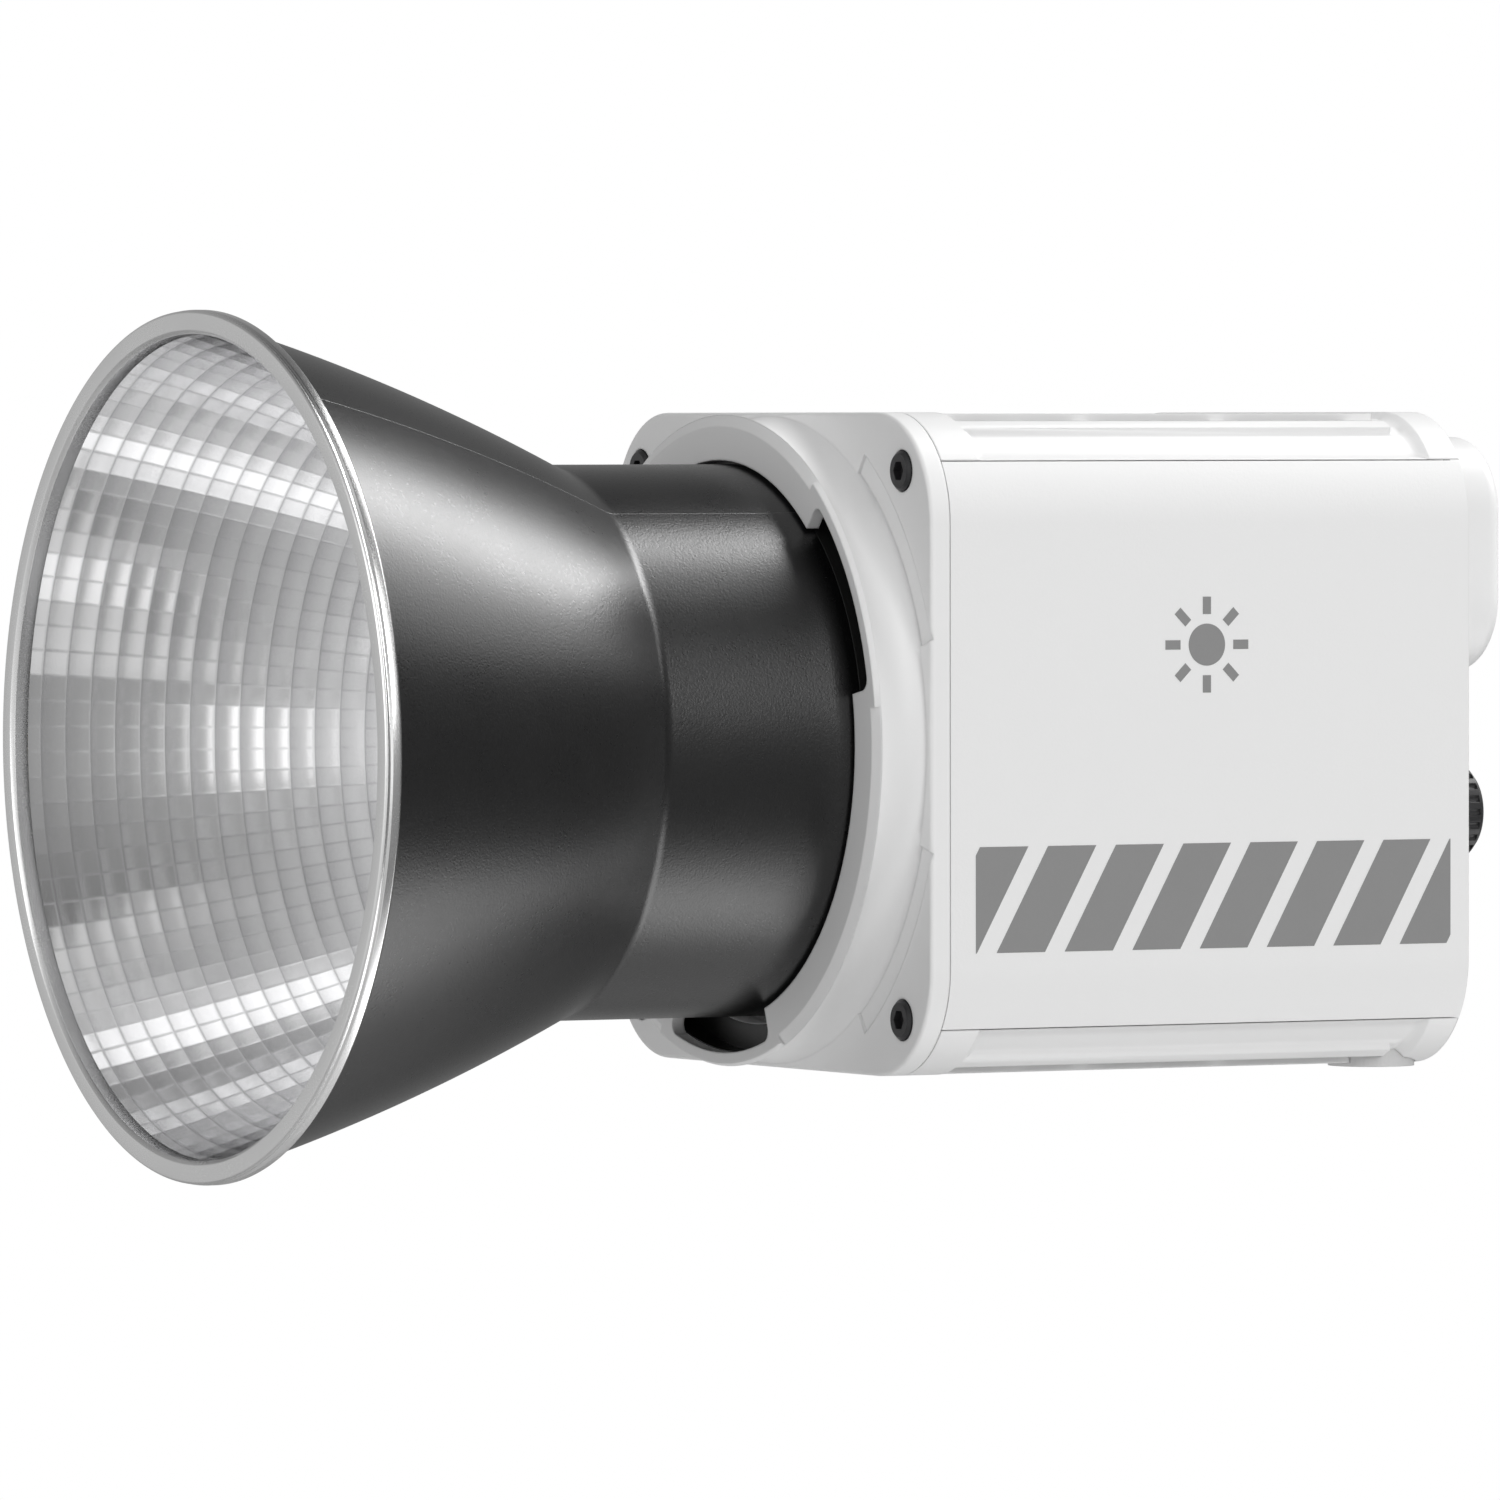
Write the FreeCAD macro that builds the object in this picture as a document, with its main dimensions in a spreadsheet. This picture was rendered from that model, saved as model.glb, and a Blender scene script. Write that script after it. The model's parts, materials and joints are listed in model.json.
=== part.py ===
# Compact LED monolight: a square vented head with a bayonet collar that holds a hard reflector.
# Frame: origin at the mouth of the stand thread under the head, +Z up, the light shines towards -Y.

import FreeCAD, Part
import math
import os
import re

import Sketcher

Vector = FreeCAD.Vector
Rotation = FreeCAD.Rotation

document = FreeCAD.newDocument("led_monolight")
sheet = document.addObject("Spreadsheet::Sheet", "sizes")

# Driving dimensions in millimetres and degrees: alias, value, what it is.
SIZES = [
    ("head_width", 92, "across the head, side to side"),
    ("head_height", 91, "from underside to top"),
    ("head_corner", 15.2, "outer corner radius of the head's section"),
    ("head_length", 82.7, "side panels and covers, from the seam back"),
    ("cover_height", 6.7, "covers, from their seam to the top or underside"),
    ("thread_setback", 40, "from the front plate's face back to the stand thread"),
    ("wall", 2, "wall of the panels and covers"),
    ("seam_gap", 0.1, "gap between two panels at a seam"),
    ("inside_gap", 0.15, "gap round what sits inside the panels"),
    ("plate_thick", 3, "visible thickness of the front plate"),
    ("plate_floor", 2, "annular floor behind the collar"),
    ("collar_height", 7.9, "collar's front face ahead of the plate"),
    ("lip_gap", 0.57, "between the reflector's neck and the lip"),
    ("lip_reach", 4.4, "entry slots, out from the inside of the lip"),
    ("collar_wall", 1.7, "collar outside the groove"),
    ("brow_step", 0.2, "how far the collar widens to its front edge"),
    ("bevel_width", 1.6, "bevel on the lip's outer edge"),
    ("root_step", 0.5, "inside of the collar's root, in from the groove"),
    ("ledge_step", 0.5, "ledge behind the groove, out from the inside of the lip"),
    ("cove_radius", 6.2, "hollow round the outside of the collar"),
    ("lip_thick", 1.9, "front to back of the lip"),
    ("lip_bevel_drop", 0.8, "how far the bevel falls back"),
    ("lobe_angle", 39, "angle of each entry slot"),
    ("slot_rounding", 1.6, "rounded corners of the entry slots"),
    ("groove_length", 3.6, "front to back of the groove behind the lip"),
    ("plate_bore", 29, "light opening in the plate's floor"),
    ("relief_width", 3.3, "crescents beyond the collar"),
    ("relief_depth", 0.4, "depth of the crescents"),
    ("screw_inset", 8, "corner screws in from the head's sides, top and underside"),
    ("screw_head_radius", 2.75, "low cap screw head"),
    ("screw_head_height", 2, "low cap screw head"),
    ("screw_head_proud", 0.6, "how far a head stands out of its seat's rim"),
    ("rear_head_radius", 2.3, "pan head of the rear screws"),
    ("screw_radius", 1.45, "screw shank"),
    ("screw_length", 8, "screw shank"),
    ("screw_seat_gap", 0.15, "gap round a screw head"),
    ("hex_radius", 1.44, "socket across its corners, halved"),
    ("hex_depth", 1.2, "depth of the socket"),
    ("thread_gap", 0.05, "gap between a shank and its hole"),
    ("post_radius", 2.8, "corner post"),
    ("louvre_start", 9, "louvre recess behind the plate's face"),
    ("louvre_margin", 4.7, "from the end of the louvre recess to the rear edge"),
    ("louvre_depth", 1, "depth of the louvre recess"),
    ("louvre_ramp", 1.6, "sloping end of the louvre recess"),
    ("ramp_margin", 0.1, "how far the slopes' cutter clears the outer surface"),
    ("louvre_slope", 0.6, "height of the recess's sloping side along a seam"),
    ("rail_top_drop", 0.2, "louvre rails below the outer surface"),
    ("rail_width", 5.2, "louvre rail"),
    ("rail_pitch", 7.7, "from rail to rail"),
    ("rail_clear", 3, "how much shorter than the recess the rails are"),
    ("slot_start", 10, "first slot behind the plate's face"),
    ("slot_margin", 5.9, "rail left over beside the slots and ribs"),
    ("rib_width", 2.3, "cross rib between two slots"),
    ("edge_slot_width", 3, "the slot beside the edge ridge"),
    ("pad_half_width", 13, "plain field round the stand thread, halved"),
    ("foot_radius", 6.05, "rear foot"),
    ("foot_inset", 15.7, "rear foot in from the head's side"),
    ("foot_margin", 0.35, "rear foot in from the rear edge"),
    ("foot_drop", 0.35, "rear foot below the underside"),
    ("rear_inset", 1, "rear panel inside the panels' rear edges"),
    ("rear_thick", 2.5, "rear panel"),
    ("bump_inset", 9, "display housing in from the head's sides"),
    ("bump_height", 33, "display housing"),
    ("bump_corner", 10.4, "display housing corner radius"),
    ("bump_depth", 12.4, "display housing, out from the rear panel"),
    ("bump_drop", 20, "middle of the display housing below the top"),
    ("bump_wall", 2, "display housing wall"),
    ("bump_edge", 2.5, "rounding of the display housing's rear edge"),
    ("glass_width", 56, "display glass"),
    ("glass_height", 21, "display glass"),
    ("glass_thick", 1.2, "display glass"),
    ("glass_corner", 3, "display glass corner radius"),
    ("glass_gap", 0.1, "gap round the display glass"),
    ("glass_ledge", 2, "ledge that the display glass rests on"),
    ("glass_sunk", 0.05, "display glass below the housing's face"),
    ("module_thick", 3, "display module"),
    ("knob_across", 27, "knobs, sideways from the axis"),
    ("knob_down", 10.6, "knobs and buttons below the axis"),
    ("knob_radius", 6.65, "knurled knob"),
    ("knob_length", 10, "knurled knob"),
    ("knob_clear", 1, "left under a knob that is pushed in"),
    ("knurl_count", 22, "grooves round a knob"),
    ("knurl_radius", 0.55, "groove cutter"),
    ("press_travel", 0.5, "push of a knob"),
    ("shaft_radius", 3, "encoder shaft"),
    ("bushing_radius", 3.5, "encoder bushing"),
    ("running_gap", 0.05, "shaft in its bushing or bore"),
    ("panel_gap", 0.2, "gap round what passes through the rear panel"),
    ("encoder_size", 12, "encoder body, across"),
    ("board_thick", 1.6, "circuit boards"),
    ("board_gap", 6.6, "control board's rear face to the rear panel"),
    ("board_inset", 8, "control board in from the head's sides"),
    ("board_inset_up", 10.5, "control board in from the top and underside"),
    ("spacer_inset", 2.5, "board spacers in from the board's sides"),
    ("spacer_radius", 2, "board spacer"),
    ("button_radius", 2.5, "button"),
    ("button_pitch", 7.4, "from button to button"),
    ("button_proud", 1.2, "button out of the rear panel"),
    ("button_flange", 0.7, "button's retaining flange, beyond its radius"),
    ("button_stem_radius", 1.5, "stem under a button"),
    ("button_stem", 2.6, "stem, from the flange's rear to its tip"),
    ("button_flange_thick", 0.9, "button's flange"),
    ("button_back_gap", 0.3, "flange to the rear panel"),
    ("switch_gap", 0.15, "between a pressed stem and its tact switch"),
    ("tact_size", 5, "tact switch, across"),
    ("port_up", 16.5, "power row above the underside"),
    ("button_travel", 0.6, "push of a button"),
    ("rocker_across", 24, "rocker switch, sideways from the axis"),
    ("rocker_length", 13, "rocker, side to side"),
    ("rocker_height", 8.6, "rocker, up and down"),
    ("rocker_tilt", 7, "rocker's lean each way"),
    ("rocker_pin_radius", 1, "rocker's pivot pins"),
    ("switch_wall", 1.3, "wall of the switch housing"),
    ("switch_depth", 9, "switch housing behind the rear panel's face"),
    ("bezel_thick", 1.2, "switch and inlet flanges"),
    ("inlet_across", 24, "DC inlet, sideways from the axis"),
    ("inlet_radius", 4.8, "DC inlet body"),
    ("inlet_bore", 2.9, "DC inlet socket"),
    ("inlet_pin", 1.25, "DC inlet centre pin"),
    ("usb_width", 9, "USB port shell"),
    ("usb_height", 3.3, "USB port shell"),
    ("usb_length", 7.4, "USB port shell"),
    ("usb_wall", 0.3, "USB port shell's wall"),
    ("tongue_thick", 0.7, "USB port's tongue"),
    ("glass_disc_radius", 33, "protective glass"),
    ("glass_disc_thick", 2, "protective glass"),
    ("seal_width", 2, "seal round the protective glass"),
    ("funnel_length", 8, "light funnel behind the glass"),
    ("led_size", 28, "COB LED substrate"),
    ("led_thick", 1.6, "COB LED substrate"),
    ("phosphor_radius", 10, "light-emitting surface"),
    ("phosphor_thick", 0.4, "light-emitting surface"),
    ("holder_rim", 7, "LED holder beyond the substrate"),
    ("holder_thick", 3.2, "LED holder"),
    ("chassis_thick", 4, "chassis plate that spreads the heat"),
    ("pipe_radius", 3, "heat pipe"),
    ("pipe_pitch", 14, "from heat pipe to heat pipe"),
    ("pipe_across", 24, "heat pipe legs, sideways from the axis"),
    ("pipe_bend", 8, "heat pipe bend"),
    ("pipe_clear", 10.8, "chassis plate to the first fin"),
    ("fin_thick", 0.6, "fin"),
    ("fin_pitch", 2, "from fin to fin"),
    ("fin_count", 11, "fins"),
    ("fan_size", 60, "fan frame, across"),
    ("fin_size", 60, "heat sink fins, across"),
    ("fan_depth", 15, "fan frame"),
    ("fan_gap", 2.4, "last fin to the fan"),
    ("fan_rim", 1.4, "thinnest part of the fan frame"),
    ("fan_hub", 12, "rotor hub"),
    ("tip_gap", 0.8, "blade tips to the frame"),
    ("fan_hole_inset", 5, "fan screws in from the frame's edges"),
    ("fan_screw_radius", 1.5, "fan screw, shank"),
    ("fan_head_radius", 2.7, "fan screw, head"),
    ("fan_screw_gap", 0.2, "round a fan screw in the fan and the fins"),
    ("fan_shaft_radius", 1.5, "rotor shaft"),
    ("blade_thick", 1.1, "fan blade"),
    ("driver_width", 46, "driver board, front to back"),
    ("driver_height", 56, "driver board, up and down"),
    ("block_width", 34, "stand block"),
    ("block_length", 30, "stand block"),
    ("block_height", 11, "stand block"),
    ("block_boss_radius", 9, "part of the block that shows in the underside"),
    ("block_screw_inset", 5.5, "screws in from the stand block's sides"),
    ("block_screw_radius", 1.2, "stand block screw, shank"),
    ("block_head_radius", 1.5, "stand block screw, head"),
    ("thread_radius", 3.175, "stand thread, 1/4 inch, nominal radius"),
    ("thread_depth", 9.5, "stand thread"),
    ("neck_radius", 38.33, "outside of the reflector's neck"),
    ("neck_break", 36.4, "where neck turns into cone, ahead of the plate's face"),
    ("mouth_distance", 89.8, "reflector's front edge ahead of the plate's face"),
    ("mouth_radius", 57.7, "outside of the cone behind its rim"),
    ("rim_stand", 1.8, "rim beyond the cone's edge"),
    ("rim_lap", 1.2, "rim's front face, in from the cone's edge"),
    ("rim_length", 2.6, "front to back of the rolled rim"),
    ("cone_bow_radius", 320, "radius of the cone's bulging side"),
    ("shell_thick", 1, "reflector shell"),
    ("liner_gap", 0.05, "between shell and liner"),
    ("liner_thick", 0.5, "bright liner"),
    ("neck_inset", 1.5, "shell's rear end behind the lip's front face"),
    ("bayonet_end", 1.8, "bayonet ring's rear end behind the plate's face"),
    ("bayonet_spigot", 8, "length of the ring inside the neck"),
    ("tab_gap", 0.5, "tabs to the walls of the entry slots"),
    ("tab_angle", 34, "angle of each tab"),
    ("tab_thick", 1.7, "front to back of a tab"),
    ("tab_play", 0.1, "between lip and tab"),
    ("spring_thick", 0.3, "bayonet leaf spring"),
    ("spring_angle", 24, "angle of each leaf spring"),
]

# Places and sizes that follow from the driving dimensions: name, formula, what it is.
FOLLOWS = [
    ("lip_radius", "neck_radius + lip_gap", "inside of the collar's front lip"),
    ("ledge_radius", "lip_radius + ledge_step", "inside of the ledge behind the groove"),
    ("lobe_radius", "lip_radius + lip_reach", "inside of the three entry slots and of the groove"),
    ("collar_root", "lobe_radius - root_step", "inside of the collar where it sits in the plate"),
    ("collar_radius", "lobe_radius + collar_wall", "outside of the collar where it meets the plate"),
    ("collar_brow", "collar_radius + brow_step", "outside of the collar just behind its front edge"),
    ("lip_bevel_radius", "collar_brow - bevel_width", "where the lip's front face meets its bevel"),
    ("relief_radius", "collar_radius + relief_width", "outer edge of the crescents"),
    ("tab_radius", "lobe_radius - tab_gap", "outside of the bayonet tabs"),
    ("screw_across", "head_width / 2 - screw_inset", "corner screws, sideways from the axis"),
    ("screw_up", "head_height / 2 - screw_inset", "corner screws, above and below the axis"),
    ("seam_height", "head_height / 2 - cover_height", "seam between panel and cover, from the axis"),
    ("louvre_end", "plate_thick + head_length - louvre_margin", "end of the louvre recess"),
    ("rail_length", "louvre_end - louvre_start - rail_clear", "louvre rail"),
    ("slot_length", "(rail_length - slot_margin - 2 * rib_width) / 3", "one louvre slot"),
    ("foot_across", "head_width / 2 - foot_inset", "rear foot, sideways from the axis"),
    ("foot_back", "plate_thick + head_length - foot_margin - foot_radius", "rear foot behind the face"),
    ("bump_width", "head_width - 2 * bump_inset", "display housing"),
    ("bump_up", "head_height / 2 - bump_drop", "display housing above the axis"),
    ("board_width", "head_width - 2 * board_inset", "control board"),
    ("board_height", "head_height - 2 * board_inset_up", "control board"),
    ("port_down", "head_height / 2 - port_up", "power row below the axis"),
    ("holder_size", "led_size + 2 * holder_rim", "LED holder"),
    ("chassis_rear", "plate_thick + plate_floor + glass_disc_thick + funnel_length + holder_thick"
     " + chassis_thick", "rear face of the chassis plate"),
    ("fin_start", "chassis_rear + pipe_clear", "first fin"),
    ("fin_end", "fin_start + (fin_count - 1) * fin_pitch + fin_thick", "last fin"),
    ("fan_start", "fin_end + fan_gap", "front of the fan frame"),
    ("fan_bore", "fan_size / 2 - fan_rim", "fan frame bore"),
    ("fan_tip", "fan_bore - tip_gap", "blade tips"),
    ("fan_hole_pitch", "fan_size - 2 * fan_hole_inset", "fan screw spacing"),
    ("block_screw_across", "block_width / 2 - block_screw_inset", "stand block screws"),
    ("knob_standoff", "press_travel + knob_clear", "knob's underside off the rear panel"),
    ("neck_end", "collar_height - neck_inset", "shell's rear end ahead of the plate's face"),
    ("rim_radius", "mouth_radius + rim_stand", "outside of the rolled rim"),
    ("rim_inner_radius", "mouth_radius - rim_lap", "inside of the rim's front face"),
]

for row, (alias, amount, note) in enumerate(SIZES, start=1):
    sheet.set(f"A{row}", note)
    sheet.set(f"B{row}", str(amount))
    sheet.setAlias(f"B{row}", alias)
document.recompute()

KNOWN = {alias for alias, amount, note in SIZES}
AXIS = "head_height / 2"
FRONT = Rotation(Vector(1, 0, 0), 90)
UP = Rotation()
SIDE = Rotation(Vector(0, 1, 0), 90)
kept = []


def bound(text):
    """The expression with what follows written out and every size name pointing at the sheet."""
    for name, formula, note in reversed(FOLLOWS):
        text = re.sub(rf"\b{name}\b", f"({formula})", text)
    return re.sub(r"[a-z_]+", lambda word: "sizes." + word[0] if word[0] in KNOWN else word[0], text)


def number(text):
    """What an expression comes to now."""
    return float(sheet.evalExpression(bound(text)))


def behind(distance):
    """A place along Y, given as a distance behind the front plate's face."""
    return f"({distance}) - thread_setback"


def bind(thing, path, text):
    """Ties one property to the sheet."""
    thing.setExpression(path, bound(text))


def place(thing, at, turn=UP):
    """Puts a solid at three expressions, turned by a rotation."""
    thing.Placement = FreeCAD.Placement(Vector(), turn)
    for letter, text in zip("xyz", at):
        bind(thing, f"Placement.Base.{letter}", text)
    return thing


def keep(thing, label):
    """Names a finished sub-part, which is written to a file of that name."""
    thing.Label = label
    kept.append(thing)
    return thing


def box(size, at):
    """A box from its low corner."""
    thing = document.addObject("Part::Box", "block")
    for path, text in zip(("Length", "Width", "Height"), size):
        bind(thing, path, text)
    return place(thing, at)


def bar(width, depth, height, back, across="0", up=AXIS):
    """A box centred sideways and up, reaching forward from its back face."""
    low = (f"({across}) - ({width}) / 2", f"({behind(back)}) - ({depth})", f"({up}) - ({height}) / 2")
    return box((width, depth, height), low)


def rod(radius, depth, back, across="0", up=AXIS, angle=None, start=0):
    """A cylinder along Y that reaches forward from its back end; with an angle it is a sector."""
    thing = document.addObject("Part::Cylinder", "rod")
    bind(thing, "Radius", radius)
    bind(thing, "Height", depth)
    if angle is not None:
        bind(thing, "Angle", angle)
    turn = FRONT.multiply(Rotation(Vector(0, 0, 1), start))
    return place(thing, (across, behind(back), up), turn)


def peg(radius, height, at):
    """An upright cylinder from its low end."""
    thing = document.addObject("Part::Cylinder", "peg")
    bind(thing, "Radius", radius)
    bind(thing, "Height", height)
    return place(thing, at)


def fused(*things):
    """Several solids joined into one."""
    thing = document.addObject("Part::MultiFuse", "joined")
    thing.Shapes = list(things)
    return thing


def cut(base, *tools):
    """A solid with others taken out of it."""
    thing = document.addObject("Part::Cut", "cut")
    thing.Base = base
    thing.Tool = tools[0] if len(tools) == 1 else fused(*tools)
    return thing


def shared(first, second):
    """What two solids have in common."""
    thing = document.addObject("Part::Common", "shared")
    thing.Base = first
    thing.Tool = second
    return thing


def group(*things):
    """Separate identical solids kept in one node."""
    thing = document.addObject("Part::Compound", "set")
    thing.Links = list(things)
    return thing


def sketch_on(body, plane, shift):
    """A sketch on one of the body's own planes, shifted in the plane and along its normal."""
    sketch = body.newObject("Sketcher::SketchObject", "outline")
    support = next(item for item in body.Origin.OriginFeatures if item.Role == plane)
    sketch.AttachmentSupport = [(support, "")]
    sketch.MapMode = "FlatFace"
    for letter, text in zip("xyz", shift):
        bind(sketch, f"AttachmentOffset.Base.{letter}", text)
    return sketch


def fix(sketch, kind, first, second, text, name):
    """A named sketch dimension tied to the sheet."""
    index = sketch.addConstraint(Sketcher.Constraint(kind, *first, *second, number(text)))
    sketch.renameConstraint(index, name)
    bind(sketch, f"Constraints.{name}", text)


def bowed_side(start, end, radius, hand):
    """An arc between two points that bulges to the left of its way for hand 1, to the right for -1."""
    chord = end - start
    half = chord.Length / 2
    rise = radius - math.sqrt(radius ** 2 - half ** 2)
    left = Vector(-chord.y, chord.x, 0).normalize()
    return Part.Arc(start, (start + end) / 2 + left * hand * rise, end)


def loop(sketch, corners, bows=None):
    """A closed outline through corners; bows gives the radius and hand of the sides that are arcs."""
    bows = bows or {}
    points = [Vector(number(across), number(up), 0) for across, up in corners]
    starts, ends = [], []
    for index, point in enumerate(points):
        following = points[(index + 1) % len(points)]
        if index in bows:
            radius, hand = bows[index]
            arc = bowed_side(point, following, number(radius), hand)
            sketch.addGeometry(arc, False)
            starts.append(1 if hand < 0 else 2)
        else:
            sketch.addGeometry(Part.LineSegment(point, following), False)
            starts.append(1)
        ends.append(3 - starts[-1])
    for index in range(len(points)):
        following = (index + 1) % len(points)
        joint = Sketcher.Constraint("Coincident", index, ends[index], following, starts[following])
        sketch.addConstraint(joint)
    for index, (across, up) in enumerate(corners):
        fix(sketch, "DistanceX", (-1, 1), (index, starts[index]), across, f"across{index}")
        fix(sketch, "DistanceY", (-1, 1), (index, starts[index]), up, f"up{index}")
    for index, (radius, hand) in bows.items():
        fix(sketch, "Radius", (index,), (), radius, f"radius{index}")


def turned(corners, bows=None, across="0", up=AXIS):
    """A solid of revolution about an axis along Y; a corner is a distance behind the face and a radius."""
    body = document.addObject("PartDesign::Body", "turned")
    sketch = sketch_on(body, "YZ_Plane", ("0", up, across))
    loop(sketch, [(behind(along), radius) for along, radius in corners], bows)
    feature = body.newObject("PartDesign::Revolution", "turn")
    feature.Profile = sketch
    feature.ReferenceAxis = (sketch, ["H_Axis"])
    feature.Angle = 360
    return body


def pad(body, sketch, length, taper="0"):
    """A sketch grown along its normal, widening by the taper in degrees."""
    feature = body.newObject("PartDesign::Pad", "pad")
    feature.Profile = sketch
    bind(feature, "Length", length)
    bind(feature, "TaperAngle", taper)
    return feature


def slab(corners, depth, back, bows=None, across="0", up=AXIS, taper="0"):
    """An outline seen from the front, grown forward from its back plane."""
    body = document.addObject("PartDesign::Body", "slab")
    sketch = sketch_on(body, "XZ_Plane", (across, up, f"-({behind(back)})"))
    loop(sketch, corners, bows)
    pad(body, sketch, depth, taper)
    return body


def rounded(width, height, corner, depth, back, across="0", up=AXIS, taper="0"):
    """A block with a rounded-rectangle outline, grown forward from its back plane."""
    wide, tall = f"({width}) / 2", f"({height}) / 2"
    near, low = f"{wide} - ({corner})", f"{tall} - ({corner})"
    corners = [
        (near, f"-({tall})"), (wide, f"-({low})"), (wide, low), (near, tall),
        (f"-({near})", tall), (f"-({wide})", low), (f"-({wide})", f"-({low})"),
        (f"-({near})", f"-({tall})"),
    ]
    bows = {0: (corner, -1), 2: (corner, -1), 4: (corner, -1), 6: (corner, -1)}
    return slab(corners, depth, back, bows, across, up, taper)


def face_towards(shape, direction):
    """The name of the flat face that looks furthest along a direction."""
    best, name = None, None
    for index, face in enumerate(shape.Faces, start=1):
        if face.Surface.TypeId != "Part::GeomPlane" or face.normalAt(0, 0).dot(direction) < 0.99:
            continue
        reach = face.CenterOfMass.dot(direction)
        if best is None or reach > best:
            best, name = reach, f"Face{index}"
    return name


def soften(body, direction, radius):
    """Rounds the edges of the body's end face on one side."""
    document.recompute()
    base = body.Tip
    feature = body.newObject("PartDesign::Fillet", "rounding")
    feature.Base = (base, [face_towards(base.Shape, direction)])
    bind(feature, "Radius", radius)
    return body


def quarters(make, across, up):
    """One solid at each of four places, mirrored about the light's axis."""
    return [
        make(f"{side} * ({across})", f"({AXIS}) + {level} * ({up})")
        for side in (-1, 1) for level in (-1, 1)
    ]


# ---- lengths that several pieces share ----
SEAM = "plate_thick"
REAR_EDGE = "plate_thick + head_length"
REAR_FACE = f"({REAR_EDGE}) - rear_inset"
REAR_INNER = f"({REAR_FACE}) - rear_thick"
BOARD_REAR = f"({REAR_INNER}) - board_gap"
FLOOR_REAR = "plate_thick + plate_floor"
GLASS_REAR = f"({FLOOR_REAR}) + glass_disc_thick"
FUNNEL_REAR = f"({GLASS_REAR}) + funnel_length"
CHASSIS_FRONT = f"({FUNNEL_REAR}) + holder_thick"
INNER_WIDTH = "head_width - 2 * wall"
INNER_HEIGHT = "head_height - 2 * wall"
INNER_CORNER = "head_corner - wall"
LIP_BACK = "lip_thick - collar_height"
LEDGE_FRONT = f"({LIP_BACK}) + groove_length"
SLOT_ANGLES = (30, 150, 270)
LIP_ANGLES = (90, 210, 330)


# ---- front plate with its collar ----
def lip_bevel(middle):
    """What is taken off the front edge of the collar between two entry slots."""
    start = middle - (120 - number("lobe_angle")) / 2 + 3.5
    sector = rod("collar_brow + 2", "lip_bevel_drop + 1", "lip_bevel_drop - collar_height",
                 angle="113 - lobe_angle", start=start)
    slope = "bevel_width / lip_bevel_drop"
    core = turned([
        ("lip_bevel_drop - collar_height + 0.5", "0"),
        ("lip_bevel_drop - collar_height + 0.5", f"collar_brow + 0.5 * {slope}"),
        ("-collar_height - 1", f"lip_bevel_radius - {slope}"),
        ("-collar_height - 1", "0"),
    ])
    return cut(sector, core)


def entry_slot(middle):
    """What lets one bayonet tab through the lip: a sector with rounded outer corners."""
    start, span = middle - number("lobe_angle") / 2, number("lobe_angle")
    inset = math.degrees(math.asin(number("slot_rounding / (lobe_radius - slot_rounding)")))
    depth, back = "lip_thick + 1", f"{LIP_BACK} + 0.3"
    pieces = [
        rod("lobe_radius - slot_rounding", depth, back, angle="lobe_angle", start=start),
        rod("lobe_radius", depth, back, angle=f"lobe_angle - {2 * inset}", start=start + inset),
    ]
    for turn in (start + inset, start + span - inset):
        reach = "(lobe_radius - slot_rounding)"
        pieces.append(rod("slot_rounding", depth, back, f"{reach} * cos({turn})",
                          f"({AXIS}) + {reach} * sin({turn})"))
    return fused(*pieces)


def crescent(start):
    """A shallow relief on the plate just outside the collar."""
    sector = rod("relief_radius", "relief_depth + 1", "relief_depth", angle="38", start=start)
    inner = rod("collar_radius", "relief_depth + 3", "relief_depth + 1")
    return cut(sector, inner)


def screw_seat(across, up):
    return fused(
        rod("screw_head_radius + screw_seat_gap", "screw_head_height",
            "screw_head_height - screw_head_proud", across, up),
        rod("screw_radius + thread_gap", "plate_thick + 2", "plate_thick + 1", across, up),
    )


def front_plate():
    slab_body = soften(rounded("head_width", "head_height", "head_corner", "plate_thick", "plate_thick"),
                       Vector(0, -1, 0), "0.5")
    collar = turned([
        ("-collar_height", "lip_radius"), ("-collar_height", "collar_brow - 0.4"),
        ("lip_bevel_drop - collar_height", "collar_brow"), ("0", "collar_radius"),
        ("plate_thick - 0.2", "collar_radius"), ("plate_thick - 0.2", "collar_root"),
        (FLOOR_REAR, "collar_root"), (FLOOR_REAR, "plate_bore"), ("plate_thick", "plate_bore"),
        ("plate_thick", "ledge_radius"), (LEDGE_FRONT, "ledge_radius"), (LEDGE_FRONT, "lobe_radius"),
        (LIP_BACK, "lobe_radius"), (LIP_BACK, "lip_radius"),
    ], {2: ("cove_radius", -1)})
    core = rod("lobe_radius", "plate_thick + 2", "plate_thick + 1")
    lobes = [entry_slot(middle) for middle in SLOT_ANGLES]
    bevels = [lip_bevel(middle) for middle in LIP_ANGLES]
    reliefs = [crescent(start) for start in (17.5, 180 - 55.5, 180 + 17.5, 360 - 55.5)]
    seats = quarters(screw_seat, "screw_across", "screw_up")
    joined = fused(cut(slab_body, core), collar)
    return keep(cut(joined, *lobes, *bevels, *reliefs, *seats), "front_plate")


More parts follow.
